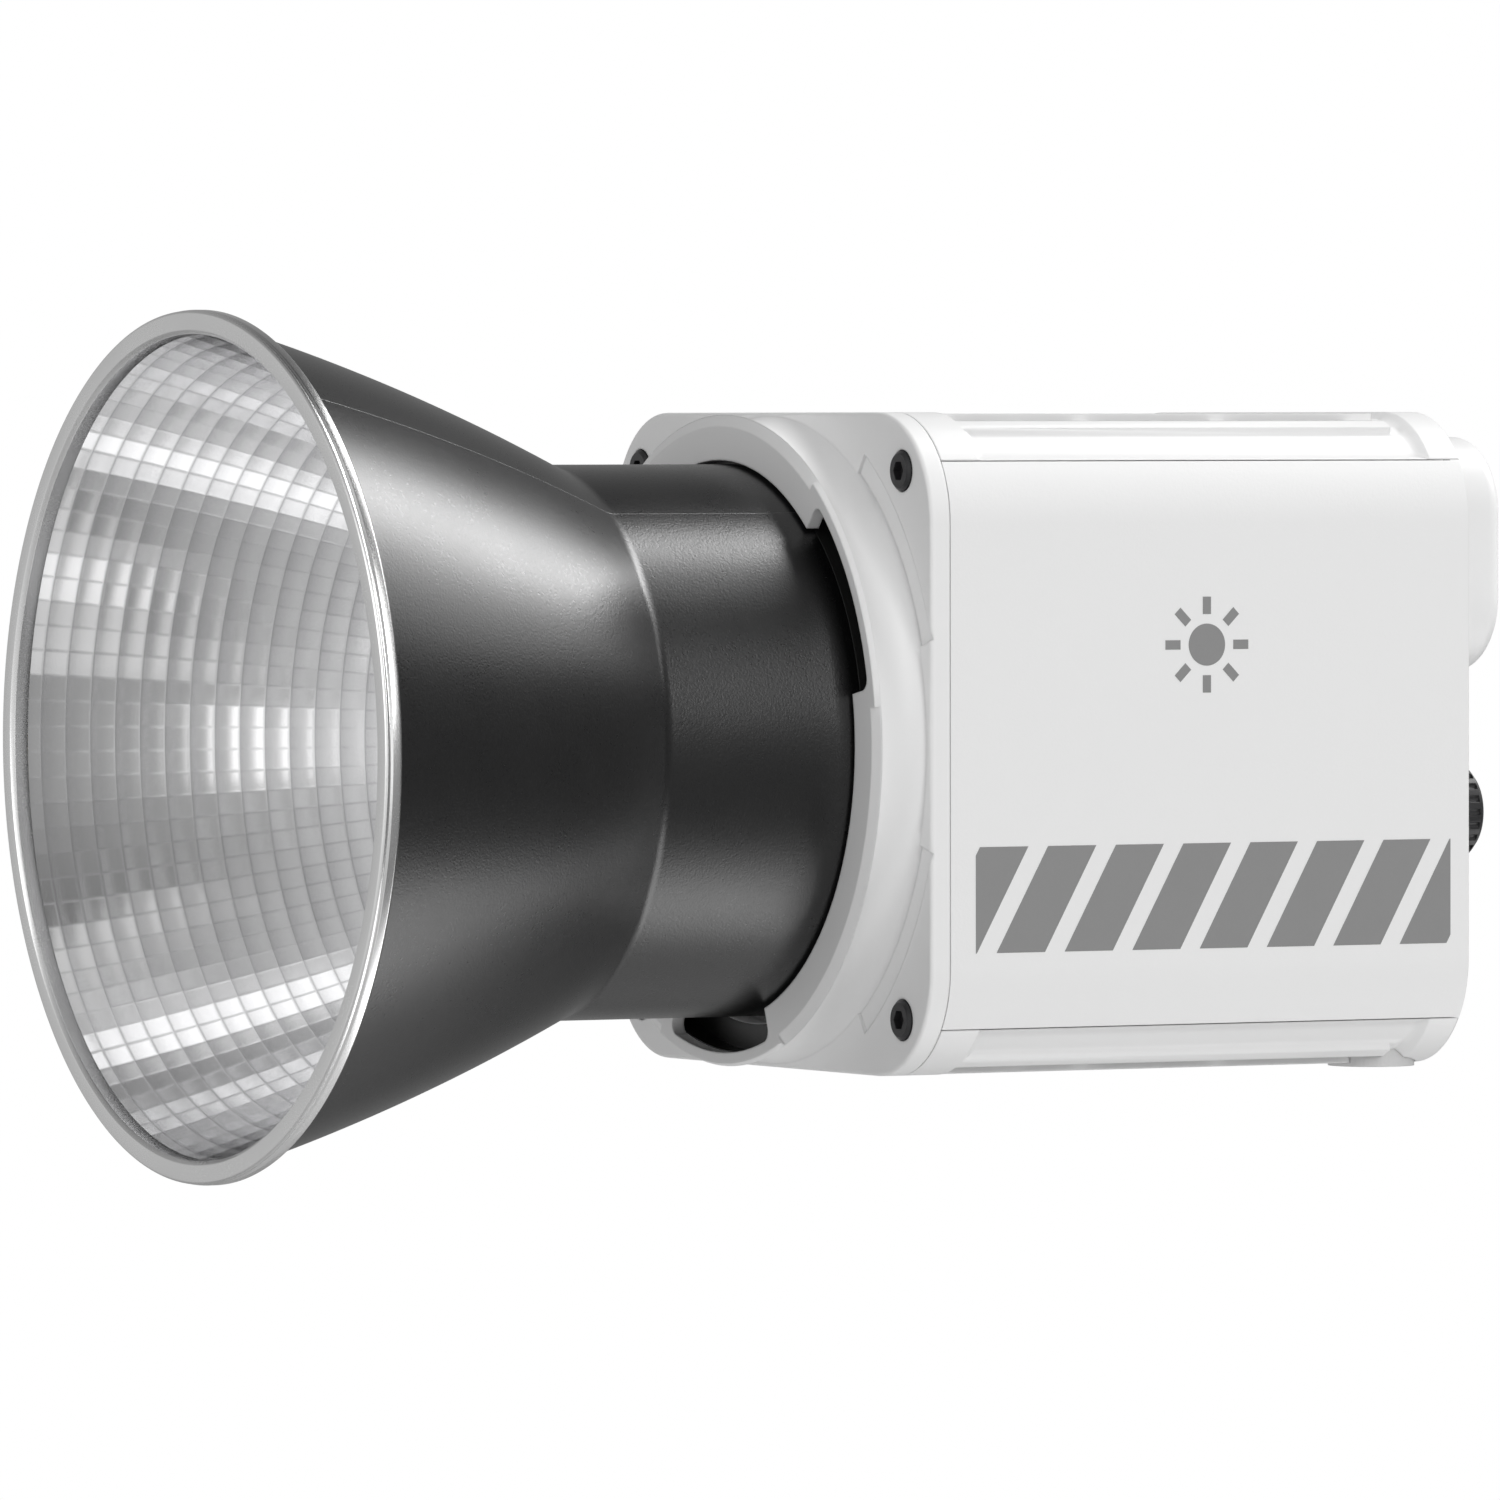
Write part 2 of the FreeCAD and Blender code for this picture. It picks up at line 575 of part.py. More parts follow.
def cap_screw(across, up, head_back, head_radius, direction=1):
    """A low screw with a hexagon socket, its head towards the front, or the rear for direction -1."""
    head_front = f"({head_back}) - {direction} * screw_head_height"
    head = turned([
        (head_back, "0"), (head_back, head_radius), (f"({head_front}) + {direction} * 0.4", head_radius),
        (head_front, f"{head_radius} - 0.4"), (head_front, "0"),
    ], None, across, up)
    tip = f"({head_back}) + {direction} * screw_length"
    shank_back = tip if direction > 0 else head_back
    shank = rod("screw_radius", "screw_length", shank_back, across, up)
    socket = document.addObject("Part::Prism", "socket")
    socket.Polygon = 6
    bind(socket, "Circumradius", "hex_radius")
    bind(socket, "Height", "hex_depth + 1")
    socket_back = f"({head_front}) + hex_depth" if direction > 0 else f"({head_front}) + 1"
    place(socket, (across, behind(socket_back), up), FRONT)
    return cut(fused(head, shank), socket)


def front_screws():
    seat = "screw_head_height - screw_head_proud"
    screws = quarters(lambda across, up: cap_screw(across, up, seat, "screw_head_radius"),
                      "screw_across", "screw_up")
    return keep(group(*screws), "front_screws")


# ---- side panels and covers: one tube cut along its seams ----
def tube():
    outer = rounded("head_width", "head_height", "head_corner", "head_length - seam_gap", REAR_EDGE)
    inner = rounded(INNER_WIDTH, INNER_HEIGHT, INNER_CORNER, "head_length + 2", f"({REAR_EDGE}) + 1")
    return cut(outer, inner)


def side_panel(side, label):
    height = "2 * (seam_height - seam_gap / 2)"
    half = bar("head_width", "head_length + 4", height, f"({REAR_EDGE}) + 2", f"{side} * head_width / 2")
    return keep(shared(tube(), half), label)


def edge_ridge(side, level):
    """The sharp ridge that runs along the rounded corner inside the louvre recess."""
    mid_across, mid_up = "(head_width / 2 - head_corner)", "(head_height / 2 - head_corner)"
    crest = "head_corner - 0.05"
    foot = "head_corner - louvre_depth"
    profile = [
        (f"{mid_across} + ({foot}) * cos(57.6)", f"{mid_up} + ({foot}) * sin(57.6)"),
        (f"{mid_across} + ({crest}) * cos(59.5)", f"{mid_up} + ({crest}) * sin(59.5)"),
        (f"{mid_across} + ({crest}) * cos(67.5)", f"{mid_up} + ({crest}) * sin(67.5)"),
        (f"{mid_across} + ({foot} - 0.5) * cos(67.5)", f"{mid_up} + ({foot} - 0.5) * sin(67.5)"),
        (f"{mid_across} + ({foot} - 0.5) * cos(57.6)", f"{mid_up} + ({foot} - 0.5) * sin(57.6)"),
    ]
    if side * level < 0:
        profile = profile[::-1]
    corners = [(f"{side} * ({across})", f"{level} * ({up})") for across, up in profile]
    return slab(corners, "rail_length", "louvre_start + rail_length - 0.5")


def recess_core():
    """What the louvre recess leaves standing: the head made smaller, with sloping ends."""
    inner, outer = [
        (f"head_width + 2 * ({more})", f"head_height + 2 * ({more})", f"head_corner + {more}")
        for more in ("-louvre_depth", "ramp_margin")
    ]
    margin = "louvre_ramp * ramp_margin / louvre_depth"
    slope = "atan(louvre_depth / louvre_ramp)"
    return fused(
        rounded(*inner, "louvre_end - louvre_start + 2", "louvre_end + 1"),
        rounded(*inner, f"louvre_ramp + {margin}", "louvre_start + louvre_ramp", taper=slope),
        rounded(*outer, f"louvre_ramp + {margin}", f"louvre_end + {margin}", taper=f"-{slope}"),
    )


def recess_band(level):
    """The block that the recess is cut with, whose lower sides slope in from the seam."""
    seam = "(seam_height + seam_gap / 2)"
    middle, rise = "(head_width / 2 - head_corner)", "(head_corner - cover_height + seam_gap / 2)"
    outer = f"({middle} + sqrt(head_corner^2 - {rise}^2))"
    inner = f"({middle} + sqrt((head_corner - louvre_depth)^2 - ({rise} + louvre_slope)^2))"
    outline = [
        (f"2 * {outer} - {inner}", f"{seam} - louvre_slope"), ("head_width", "head_height"),
        ("-head_width", "head_height"), (f"{inner} - 2 * {outer}", f"{seam} - louvre_slope"),
        (f"-{inner}", f"{seam} + louvre_slope"), (inner, f"{seam} + louvre_slope"),
    ]
    corners = [(across, f"{level} * ({up})") for across, up in outline]
    return slab(corners, "louvre_end - louvre_start", "louvre_end")


def cover_outline(level):
    """The cover before its louvres: a cap of the tube with the long recess let into its outside."""
    height = "cover_height - seam_gap / 2 + 1"
    middle = f"({AXIS}) + {level} * (seam_height + seam_gap / 2 + ({height}) / 2)"
    cap = shared(tube(), bar("head_width", "head_length + 4", height, f"({REAR_EDGE}) + 2", "0", middle))
    return cut(cap, cut(recess_band(level), recess_core()))


def rail_places(count=9):
    return [f"{index - count // 2} * rail_pitch" for index in range(count)]


def rails(level):
    top = "head_height / 2 - rail_top_drop"
    height = "louvre_depth + 0.3"
    middle = f"({AXIS}) + {level} * ({top} - ({height}) / 2)"
    return [
        bar("rail_width", "rail_length", height, "louvre_start + rail_length - 0.5", place_across, middle)
        for place_across in rail_places()
    ]


def slots(level, skip_middle):
    """The slots that let air through, three in a row between two rails."""
    middle = f"({AXIS}) + {level} * (head_height / 2 - wall)"
    outermost = "(4 * rail_pitch + rail_width / 2 + edge_slot_width / 2)"
    columns = [(f"({index} + 0.5) * rail_pitch", "rail_pitch - rail_width") for index in range(-4, 4)]
    columns += [(f"{side} * {outermost}", "edge_slot_width") for side in (-1, 1)]
    found = []
    for across, width in columns:
        for order in range(3):
            if skip_middle and order == 1 and abs(number(across)) < number("pad_half_width"):
                continue
            back = f"slot_start + slot_length + {order} * (slot_length + rib_width)"
            found.append(bar(width, "slot_length", "2 * wall + 2", back, across, middle))
    return found


def top_cover():
    body = fused(cover_outline(1), *rails(1), edge_ridge(-1, 1), edge_ridge(1, 1))
    return keep(cut(body, *slots(1, False)), "top_cover")


def foot_place(side):
    return (f"{side} * foot_across", behind("foot_back"))


def bottom_cover():
    pad_field = bar("2 * pad_half_width", "22", "louvre_depth + 0.5", "thread_setback + 11", "0",
                    "(louvre_depth + 0.5) / 2")
    body = fused(cover_outline(-1), *rails(-1), edge_ridge(-1, -1), edge_ridge(1, -1), pad_field)
    mouth = peg("block_boss_radius + seam_gap", "wall + 2", ("0", "0", "-1"))
    seats = [
        peg("foot_radius + seam_gap", "head_corner", (*foot_place(side), "-1")) for side in (-1, 1)
    ]
    holes = [
        peg("block_head_radius + seam_gap", "wall + 2", (f"{side} * block_screw_across", "0", "-1"))
        for side in (-1, 1)
    ]
    return keep(cut(body, *slots(-1, True), mouth, *seats, *holes), "bottom_cover")


def rear_feet():
    """Two round feet on the rear corners, each cut to the inside of the head at its top."""
    inside = rounded(INNER_WIDTH, INNER_HEIGHT, INNER_CORNER, "head_length + 2", f"({REAR_EDGE}) + 1")
    feet = []
    for side in (-1, 1):
        column = peg("foot_radius", "foot_drop + cover_height - seam_gap / 2",
                     (*foot_place(side), "-foot_drop"))
        feet.append(cut(column, inside))
    return keep(group(*feet), "rear_feet")


# ---- rear panel and what is on it ----
BUTTON_PLACES = [f"{order} * button_pitch" for order in (-1.5, -0.5, 0.5, 1.5)]
KNOB_UP = f"({AXIS}) - knob_down"
PORT_UP = f"({AXIS}) - port_down"
SWITCH_LENGTH = "rocker_length + 1.6 + 2 * switch_wall"
SWITCH_HEIGHT = "rocker_height + 0.6 + 2 * switch_wall"


def rear_panel():
    plate = rounded(f"{INNER_WIDTH} - 2 * inside_gap", f"{INNER_HEIGHT} - 2 * inside_gap",
                    f"{INNER_CORNER} - inside_gap", "rear_thick", REAR_FACE)
    through, back = "rear_thick + 2", f"({REAR_FACE}) + 1"
    holes = quarters(lambda across, up: rod("screw_radius + thread_gap", through, back, across, up),
                     "screw_across", "screw_up")
    for side in (-1, 1):
        holes.append(rod("bushing_radius + panel_gap", through, back, f"{side} * knob_across", KNOB_UP))
    for across in BUTTON_PLACES:
        holes.append(rod("button_radius + panel_gap / 2", through, back, across, KNOB_UP))
    holes.append(bar(f"{SWITCH_LENGTH} + panel_gap", through, f"{SWITCH_HEIGHT} + panel_gap", back,
                     "-rocker_across", PORT_UP))
    holes.append(rod("inlet_radius + panel_gap", through, back, "inlet_across", PORT_UP))
    holes.append(bar("usb_width + 2 * panel_gap", through, "usb_height + 2 * panel_gap", back, "0",
                     PORT_UP))
    holes.append(bar("glass_width - 14", through, "glass_height - 8", back, "0", f"({AXIS}) + bump_up"))
    return keep(cut(plate, *holes), "rear_panel")


def rear_screws():
    screws = quarters(lambda across, up: cap_screw(across, up, REAR_FACE, "rear_head_radius", -1),
                      "screw_across", "screw_up")
    return keep(group(*screws), "rear_screws")


def display_housing():
    up = f"({AXIS}) + bump_up"
    back = f"({REAR_FACE}) + bump_depth"
    outer = soften(rounded("bump_width", "bump_height", "bump_corner", "bump_depth", back, "0", up),
                   Vector(0, 1, 0), "bump_edge")
    hollow = rounded("bump_width - 2 * bump_wall", "bump_height - 2 * bump_wall", "bump_corner - bump_wall",
                     "bump_depth - bump_wall - glass_thick", f"({back}) - bump_wall - glass_thick", "0", up)
    seat = rounded("glass_width + 2 * glass_gap", "glass_height + 2 * glass_gap",
                   "glass_corner + glass_gap", "glass_thick + 1", f"({back}) + 1", "0", up)
    window = bar("glass_width - 2 * glass_ledge", "bump_wall + 4", "glass_height - 2 * glass_ledge", back,
                 "0", up)
    return keep(cut(outer, hollow, seat, window), "display_housing")


def display_glass():
    back = f"({REAR_FACE}) + bump_depth - glass_sunk"
    pane = rounded("glass_width", "glass_height", "glass_corner", "glass_thick - glass_sunk", back, "0",
                   f"({AXIS}) + bump_up")
    return keep(pane, "display_glass")


def display_module():
    back = f"({REAR_FACE}) + bump_depth - bump_wall - glass_thick - 0.1"
    module = bar("glass_width - 1", "module_thick", "glass_height + 2", back, "0", f"({AXIS}) + bump_up")
    return keep(module, "display_module")


KNOB_FRONT = f"({REAR_FACE}) + knob_standoff"
ENCODER_REAR = f"({BOARD_REAR}) + board_gap - 0.2"


def knob(side, label):
    """A knurled knob bored to press onto its shaft."""
    across = f"{side} * knob_across"
    rear = f"({KNOB_FRONT}) + knob_length"
    body = turned([
        (KNOB_FRONT, "shaft_radius + running_gap"), (KNOB_FRONT, "knob_radius - 0.3"),
        (f"({KNOB_FRONT}) + 0.6", "knob_radius"), (f"({rear}) - 0.8", "knob_radius"),
        (rear, "knob_radius - 0.8"), (rear, "0"), (f"({rear}) - 1.4", "0"),
        (f"({rear}) - 1.4", "shaft_radius + running_gap"),
    ], None, across, KNOB_UP)
    grooves = []
    for order in range(round(number("knurl_count"))):
        turn = f"{order} * 360 / knurl_count"
        ring = "(knob_radius + knurl_radius * 0.35)"
        grooves.append(rod("knurl_radius", "knob_length - 2.2", f"({rear}) - 1",
                           f"{across} + {ring} * cos({turn})", f"({KNOB_UP}) + {ring} * sin({turn})"))
    return keep(cut(body, *grooves), label)


def encoder_shaft(side, label):
    rear = f"({KNOB_FRONT}) + knob_length - 1.5"
    front = f"({BOARD_REAR}) + 3"
    return keep(rod("shaft_radius", f"({rear}) - ({front})", rear, f"{side} * knob_across", KNOB_UP), label)


def encoder_plunger(side, label):
    """The disc under a shaft that a push on the knob moves."""
    rear = f"({BOARD_REAR}) + 2.95"
    return keep(rod("shaft_radius + 0.5", "0.9", rear, f"{side} * knob_across", KNOB_UP), label)


def encoder(side):
    across = f"{side} * knob_across"
    depth = f"({ENCODER_REAR}) - ({BOARD_REAR})"
    case = bar("encoder_size", depth, "encoder_size", ENCODER_REAR, across, KNOB_UP)
    bushing = rod("bushing_radius", "rear_thick + 1.2", f"({REAR_FACE}) + 0.8", across, KNOB_UP)
    bore = rod("shaft_radius + running_gap", "30", f"({REAR_FACE}) + 10", across, KNOB_UP)
    chamber = rod("shaft_radius + 1", "2.4 - 0.3", f"({BOARD_REAR}) + 3", across, KNOB_UP)
    floor = bar("encoder_size", "0.9", "encoder_size", f"({BOARD_REAR}) + 0.9", across, KNOB_UP)
    return fused(cut(fused(case, bushing), bore, chamber), floor)


def encoders():
    return keep(group(encoder(-1), encoder(1)), "encoders")


def button(across, label):
    """A button cap, its flange behind the panel and its stem over a tact switch."""
    front = f"({REAR_INNER}) - button_back_gap"
    tip, under = f"({front}) - button_stem", f"({front}) - button_flange_thick"
    body = turned([
        (tip, "0"), (tip, "button_stem_radius"), (under, "button_stem_radius"),
        (under, "button_radius + button_flange"), (front, "button_radius + button_flange"),
        (front, "button_radius"), (f"({REAR_FACE}) + button_proud - 0.4", "button_radius"),
        (f"({REAR_FACE}) + button_proud", "button_radius - 0.4"), (f"({REAR_FACE}) + button_proud", "0"),
    ], None, across, KNOB_UP)
    return keep(body, label)


def tact_switches():
    height = "board_gap - button_back_gap - button_stem - button_travel - switch_gap"
    cases = [
        bar("tact_size", height, "tact_size", f"({BOARD_REAR}) + {height}", across, KNOB_UP)
        for across in BUTTON_PLACES
    ]
    return keep(group(*cases), "tact_switches")


def switch_housing():
    back = f"({REAR_FACE}) + bezel_thick"
    flange = rounded(f"{SWITCH_LENGTH} + 2.4", f"{SWITCH_HEIGHT} + 2.4", "1.5", "bezel_thick", back,
                     "-rocker_across", PORT_UP)
    case = bar(SWITCH_LENGTH, "switch_depth", SWITCH_HEIGHT, REAR_FACE, "-rocker_across", PORT_UP)
    well = bar(f"{SWITCH_LENGTH} - 2 * switch_wall", "switch_depth + bezel_thick",
               f"{SWITCH_HEIGHT} - 2 * switch_wall", f"({back}) + 1", "-rocker_across", PORT_UP)
    return keep(cut(fused(flange, case), well, rocker_pin("0.05", "1.2")), "switch_housing")


ROCKER_PIVOT = f"({REAR_FACE}) - 1.2"


def rocker_pin(more, reach):
    """The rocker's upright pivot, or the hole for it."""
    height = f"rocker_height + 2 * ({reach})"
    return peg(f"rocker_pin_radius + {more}", height,
               ("-rocker_across", behind(ROCKER_PIVOT), f"({PORT_UP}) - ({height}) / 2"))


def power_rocker():
    """A rocker with a shallow V face, resting on its off side."""
    half = "rocker_length / 2"
    corners = [
        (f"-({half})", "-3"), ("0", "-2.2"), (half, "-3"), (f"{half} - 0.3", "0.6"), ("0", "2.5"),
        (f"-({half}) + 0.3", "0.6"),
    ]
    body = document.addObject("PartDesign::Body", "rocker")
    sketch = sketch_on(body, "XY_Plane", ("0", "0", "-rocker_height / 2"))
    loop(sketch, [(across, f"-({along})") for across, along in corners][::-1])
    pad(body, sketch, "rocker_height")
    place(body, ("-rocker_across", behind(ROCKER_PIVOT), PORT_UP), Rotation(Vector(0, 0, 1), 1))
    bind(body, "Placement.Rotation.Angle", "-rocker_tilt")
    return keep(fused(body, rocker_pin("0", "0.8")), "power_rocker")


def dc_inlet():
    back = f"({REAR_FACE}) + bezel_thick"
    flange = rod("inlet_radius + 1.4", "bezel_thick", back, "inlet_across", PORT_UP)
    case = rod("inlet_radius", "switch_depth", REAR_FACE, "inlet_across", PORT_UP)
    bore = rod("inlet_bore", "switch_depth", f"({back}) + 0.5", "inlet_across", PORT_UP)
    return keep(cut(fused(flange, case), bore), "dc_inlet")


def dc_pin():
    back = f"({REAR_FACE}) - 0.5"
    depth = f"({back}) - (({REAR_FACE}) + bezel_thick + 0.5 - switch_depth)"
    return keep(rod("inlet_pin", depth, back, "inlet_across", PORT_UP), "dc_pin")


def usb_port():
    back = f"({REAR_FACE}) - 0.1"
    shell = rounded("usb_width", "usb_height", "usb_height / 2 - 0.05", "usb_length", back, "0",
                    PORT_UP)
    hollow = rounded("usb_width - 2 * usb_wall", "usb_height - 2 * usb_wall",
                     "usb_height / 2 - usb_wall - 0.05", "usb_length - 1", f"({back}) + 0.5", "0", PORT_UP)
    tongue = bar("usb_width - 3", "usb_length - 0.8", "tongue_thick", f"({back}) - 0.6", "0", PORT_UP)
    return keep(fused(cut(shell, hollow), tongue), "usb_port")


def control_board():
    board = bar("board_width", "board_thick", "board_height", BOARD_REAR)
    notch = bar(f"{SWITCH_LENGTH} + 1", "board_thick + 2", f"{SWITCH_HEIGHT} + 1", f"({BOARD_REAR}) + 1",
                "-rocker_across", PORT_UP)
    inlet_notch = rod("inlet_radius + 0.5", "board_thick + 2", f"({BOARD_REAR}) + 1", "inlet_across",
                      PORT_UP)
    posts = quarters(lambda across, up: rod("post_radius + 0.4", "board_thick + 2", f"({BOARD_REAR}) + 1",
                                            across, up), "screw_across", "screw_up")
    return keep(cut(board, notch, inlet_notch, *posts), "control_board")


def board_spacers():
    pegs = [
        rod("spacer_radius", "board_gap", REAR_INNER, f"{side} * (board_width / 2 - spacer_inset)",
            f"({AXIS}) + {up}")
        for side in (-1, 1) for up in (-18, 14)
    ]
    return keep(group(*pegs), "board_spacers")


# ---- chassis, LED and cooling ----
def corner_posts():
    def post(across, up):
        length = f"({REAR_INNER}) - plate_thick"
        hole_depth = "screw_length + 1"
        body = rod("post_radius", length, REAR_INNER, across, up)
        front_hole = rod("screw_radius + thread_gap", hole_depth, f"plate_thick + {hole_depth} - 1",
                         across, up)
        rear_hole = rod("screw_radius + thread_gap", hole_depth, f"({REAR_INNER}) + 1", across, up)
        return cut(body, front_hole, rear_hole)
    return keep(group(*quarters(post, "screw_across", "screw_up")), "corner_posts")


def chassis_plate():
    plate = rounded(f"{INNER_WIDTH} - 4 * inside_gap", f"{INNER_HEIGHT} - 4 * inside_gap",
                    f"{INNER_CORNER} - 2 * inside_gap", "chassis_thick", "chassis_rear")
    through, back = "chassis_thick + 2", "chassis_rear + 1"
    posts = quarters(lambda across, up: rod("post_radius + 0.1", through, back, across, up),
                     "screw_across", "screw_up")
    vents = [bar("40", through, "5", back, "0", f"({AXIS}) + {level} * 37") for level in (-1, 1)]
    screws = fan_screw_holes("fan_screw_radius + thread_gap", through, back)
    return keep(cut(plate, *posts, *vents, *screws), "chassis_plate")


def protective_glass():
    disc = rod("glass_disc_radius", "glass_disc_thick - 0.1", f"({GLASS_REAR}) - 0.05")
    return keep(disc, "protective_glass")


def glass_seal():
    ring = turned([
        (f"({FLOOR_REAR}) + 0.1", "glass_disc_radius + 0.1"),
        (f"({FLOOR_REAR}) + 0.1", "glass_disc_radius + seal_width"),
        (f"({GLASS_REAR}) - 0.1", "glass_disc_radius + seal_width"),
        (f"({GLASS_REAR}) - 0.1", "glass_disc_radius + 0.1"),
    ])
    return keep(ring, "glass_seal")


def light_funnel():
    ring = turned([
        (GLASS_REAR, "plate_bore + 1"), (GLASS_REAR, "collar_root - 3"), (FUNNEL_REAR, "collar_root - 3"),
        (FUNNEL_REAR, "phosphor_radius + 2"), (f"({FUNNEL_REAR}) - 1", "phosphor_radius + 2"),
    ])
    return keep(ring, "light_funnel")


def led_holder():
    frame = bar("holder_size", "holder_thick - 0.1", "holder_size", CHASSIS_FRONT)
    aperture = rod("phosphor_radius + 1.5", "holder_thick + 2", f"({CHASSIS_FRONT}) + 1")
    seat = bar("led_size + 0.2", "led_thick + 0.1", "led_size + 0.2", CHASSIS_FRONT)
    return keep(cut(frame, aperture, seat), "led_holder")


def cob_led():
    return keep(bar("led_size", "led_thick", "led_size", CHASSIS_FRONT), "cob_led")


def phosphor():
    return keep(rod("phosphor_radius", "phosphor_thick", f"({CHASSIS_FRONT}) - led_thick"), "phosphor")


PIPE_PLACES = ("-1", "0", "1")


def heat_pipe(order):
    """A U-shaped pipe: its bend lies on the chassis plate and its legs run back through the fins."""
    body = document.addObject("PartDesign::Body", "pipe")
    level = f"({AXIS}) + {order} * pipe_pitch"
    near, far = behind("chassis_rear + pipe_radius"), behind("fin_end + 1")
    bend_end = f"{near} + pipe_bend"
    inner = "pipe_across - pipe_bend"
    spine = sketch_on(body, "XY_Plane", ("0", "0", level))
    points = [("-pipe_across", far), ("-pipe_across", bend_end), (f"-({inner})", near), (inner, near),
              ("pipe_across", bend_end), ("pipe_across", far)]
    spots = [Vector(number(across), number(along), 0) for across, along in points]
    for index in range(5):
        start, end = spots[index], spots[index + 1]
        if index in (1, 3):
            spine.addGeometry(bowed_side(start, end, number("pipe_bend"), -1), False)
        else:
            spine.addGeometry(Part.LineSegment(start, end), False)
    profile = sketch_on(body, "XZ_Plane", ("-pipe_across", level, f"-({far})"))
    profile.addGeometry(Part.Circle(Vector(), Vector(0, 0, 1), number("pipe_radius")), False)
    profile.addConstraint(Sketcher.Constraint("Coincident", 0, 3, -1, 1))
    fix(profile, "Radius", (0,), (), "pipe_radius", "bore")
    sweep = body.newObject("PartDesign::AdditivePipe", "sweep")
    sweep.Profile = profile
    sweep.Spine = (spine, [f"Edge{index}" for index in range(1, 6)])
    return body


def heat_pipes():
    return keep(group(*[heat_pipe(order) for order in PIPE_PLACES]), "heat_pipes")


def fan_screw_holes(radius, depth, back):
    return quarters(lambda across, up: rod(radius, depth, back, across, up), "fan_hole_pitch / 2",
                    "fan_hole_pitch / 2")


def heat_sink_fins():
    count = round(number("fin_count"))
    length = "fin_end - fin_start"
    stack = bar("fin_size", length, "fin_size", "fin_end")
    gaps = [
        bar("fin_size + 2", "fin_pitch - fin_thick", "fin_size + 2", f"fin_start + {order + 1} * fin_pitch")
        for order in range(count - 1)
    ]
    holes = [
        rod("pipe_radius + 0.05", f"{length} + 2", "fin_end + 1", f"{side} * pipe_across",
            f"({AXIS}) + {order} * pipe_pitch")
        for side in (-1, 1) for order in PIPE_PLACES
    ]
    holes += fan_screw_holes("fan_screw_radius + fan_screw_gap", f"{length} + 2", "fin_end + 1")
    return keep(cut(stack, *gaps, *holes), "heat_sink_fins")


FAN_END = "fan_start + fan_depth"
FAN_WEB = f"{FAN_END} - 2.5"


def fan_frame():
    frame = rounded("fan_size", "fan_size", "4", "fan_depth", FAN_END)
    tunnel = rod("fan_bore", "fan_depth + 2", f"{FAN_END} + 1")
    motor = rod("fan_hub - 1", "2.5", FAN_END)
    struts = [
        bar("fan_bore * 2 + 2", "2", "2.4", FAN_END),
        bar("2.4", "2", "fan_bore * 2 + 2", FAN_END),
    ]
    sleeve = rod("2 * fan_shaft_radius", "8", FAN_END)
    bearing = rod("fan_shaft_radius + running_gap", "12", f"{FAN_END} + 1")
    holes = fan_screw_holes("fan_screw_radius + fan_screw_gap", "fan_depth + 2", f"{FAN_END} + 1")
    return keep(cut(fused(cut(frame, tunnel), motor, *struts, sleeve), bearing, *holes), "fan_frame")


def fan_rotor():
    """A hub cup with seven leaning blades, and its shaft in the frame's sleeve."""
    front = "fan_start + 1"
    length = f"{FAN_WEB} - 0.5 - ({front})"
    hub = rod("fan_hub", length, f"{FAN_WEB} - 0.5")
    cavity = rod("fan_hub - 1.2", length, f"{FAN_WEB} + 0.7")
    shaft = rod("fan_shaft_radius", f"{FAN_END} - 1 - ({front})", f"{FAN_END} - 1")
    blades = []
    for order in range(7):
        blade = box(("fan_tip - fan_hub + 0.6", "blade_thick", f"{length} - 1.5"), ("0", "0", "0"))
        turn = Rotation(Vector(0, 1, 0), order * 360 / 7)
        lean = Rotation(Vector(1, 0, 0), 90 + 38)
        blade.Placement = FreeCAD.Placement(Vector(), turn.multiply(lean))
        reach = "(fan_hub - 0.6)"
        bind(blade, "Placement.Base.x", f"{reach} * cos({order} * 360 / 7)")
        bind(blade, "Placement.Base.z", f"({AXIS}) - {reach} * sin({order} * 360 / 7)")
        bind(blade, "Placement.Base.y", behind(f"{FAN_WEB} - 2"))
        blades.append(blade)
    limit = turned([
        (f"{FAN_WEB} - 0.6", "fan_hub - 1"), (f"{FAN_WEB} - 0.6", "fan_tip"),
        ("fan_start + 1.2", "fan_tip"), ("fan_start + 1.2", "fan_hub - 1"),
    ])
    return keep(fused(cut(hub, cavity), shaft, shared(fused(*blades), limit)), "fan_rotor")


def fan_screws():
    head_back = FAN_END
    length = f"{FAN_END} - chassis_rear + 2"
    screws = quarters(lambda across, up: fused(
        rod("fan_screw_radius", length, head_back, across, up),
        rod("fan_head_radius", "1.8", f"{head_back} + 1.8", across, up),
    ), "fan_hole_pitch / 2", "fan_hole_pitch / 2")
    return keep(group(*screws), "fan_screws")


DRIVER_LOW = behind("chassis_rear + 0.5")
DRIVER_FACE = f"-(({INNER_WIDTH}) / 2 - 4)"


def driver_board():
    board = box(("board_thick", "driver_width", "driver_height"),
                (f"{DRIVER_FACE} - board_thick", DRIVER_LOW, f"({AXIS}) - driver_height / 2"))
    return keep(board, "driver_board")


def driver_components():
    cans = []
    for order, height in enumerate((-20, -8, 4)):
        can = document.addObject("Part::Cylinder", "can")
        bind(can, "Radius", "4")
        bind(can, "Height", "7")
        cans.append(place(can, (DRIVER_FACE, f"{DRIVER_LOW} + 8", f"({AXIS}) + {height}"), SIDE))
    chips = [
        box(("3", "9", "9"), (DRIVER_FACE, f"{DRIVER_LOW} + {along}", f"({AXIS}) + {height}"))
        for along, height in ((20, -18), (20, 0), (33, -18), (33, 6))
    ]
    return keep(group(*cans, *chips), "driver_components")


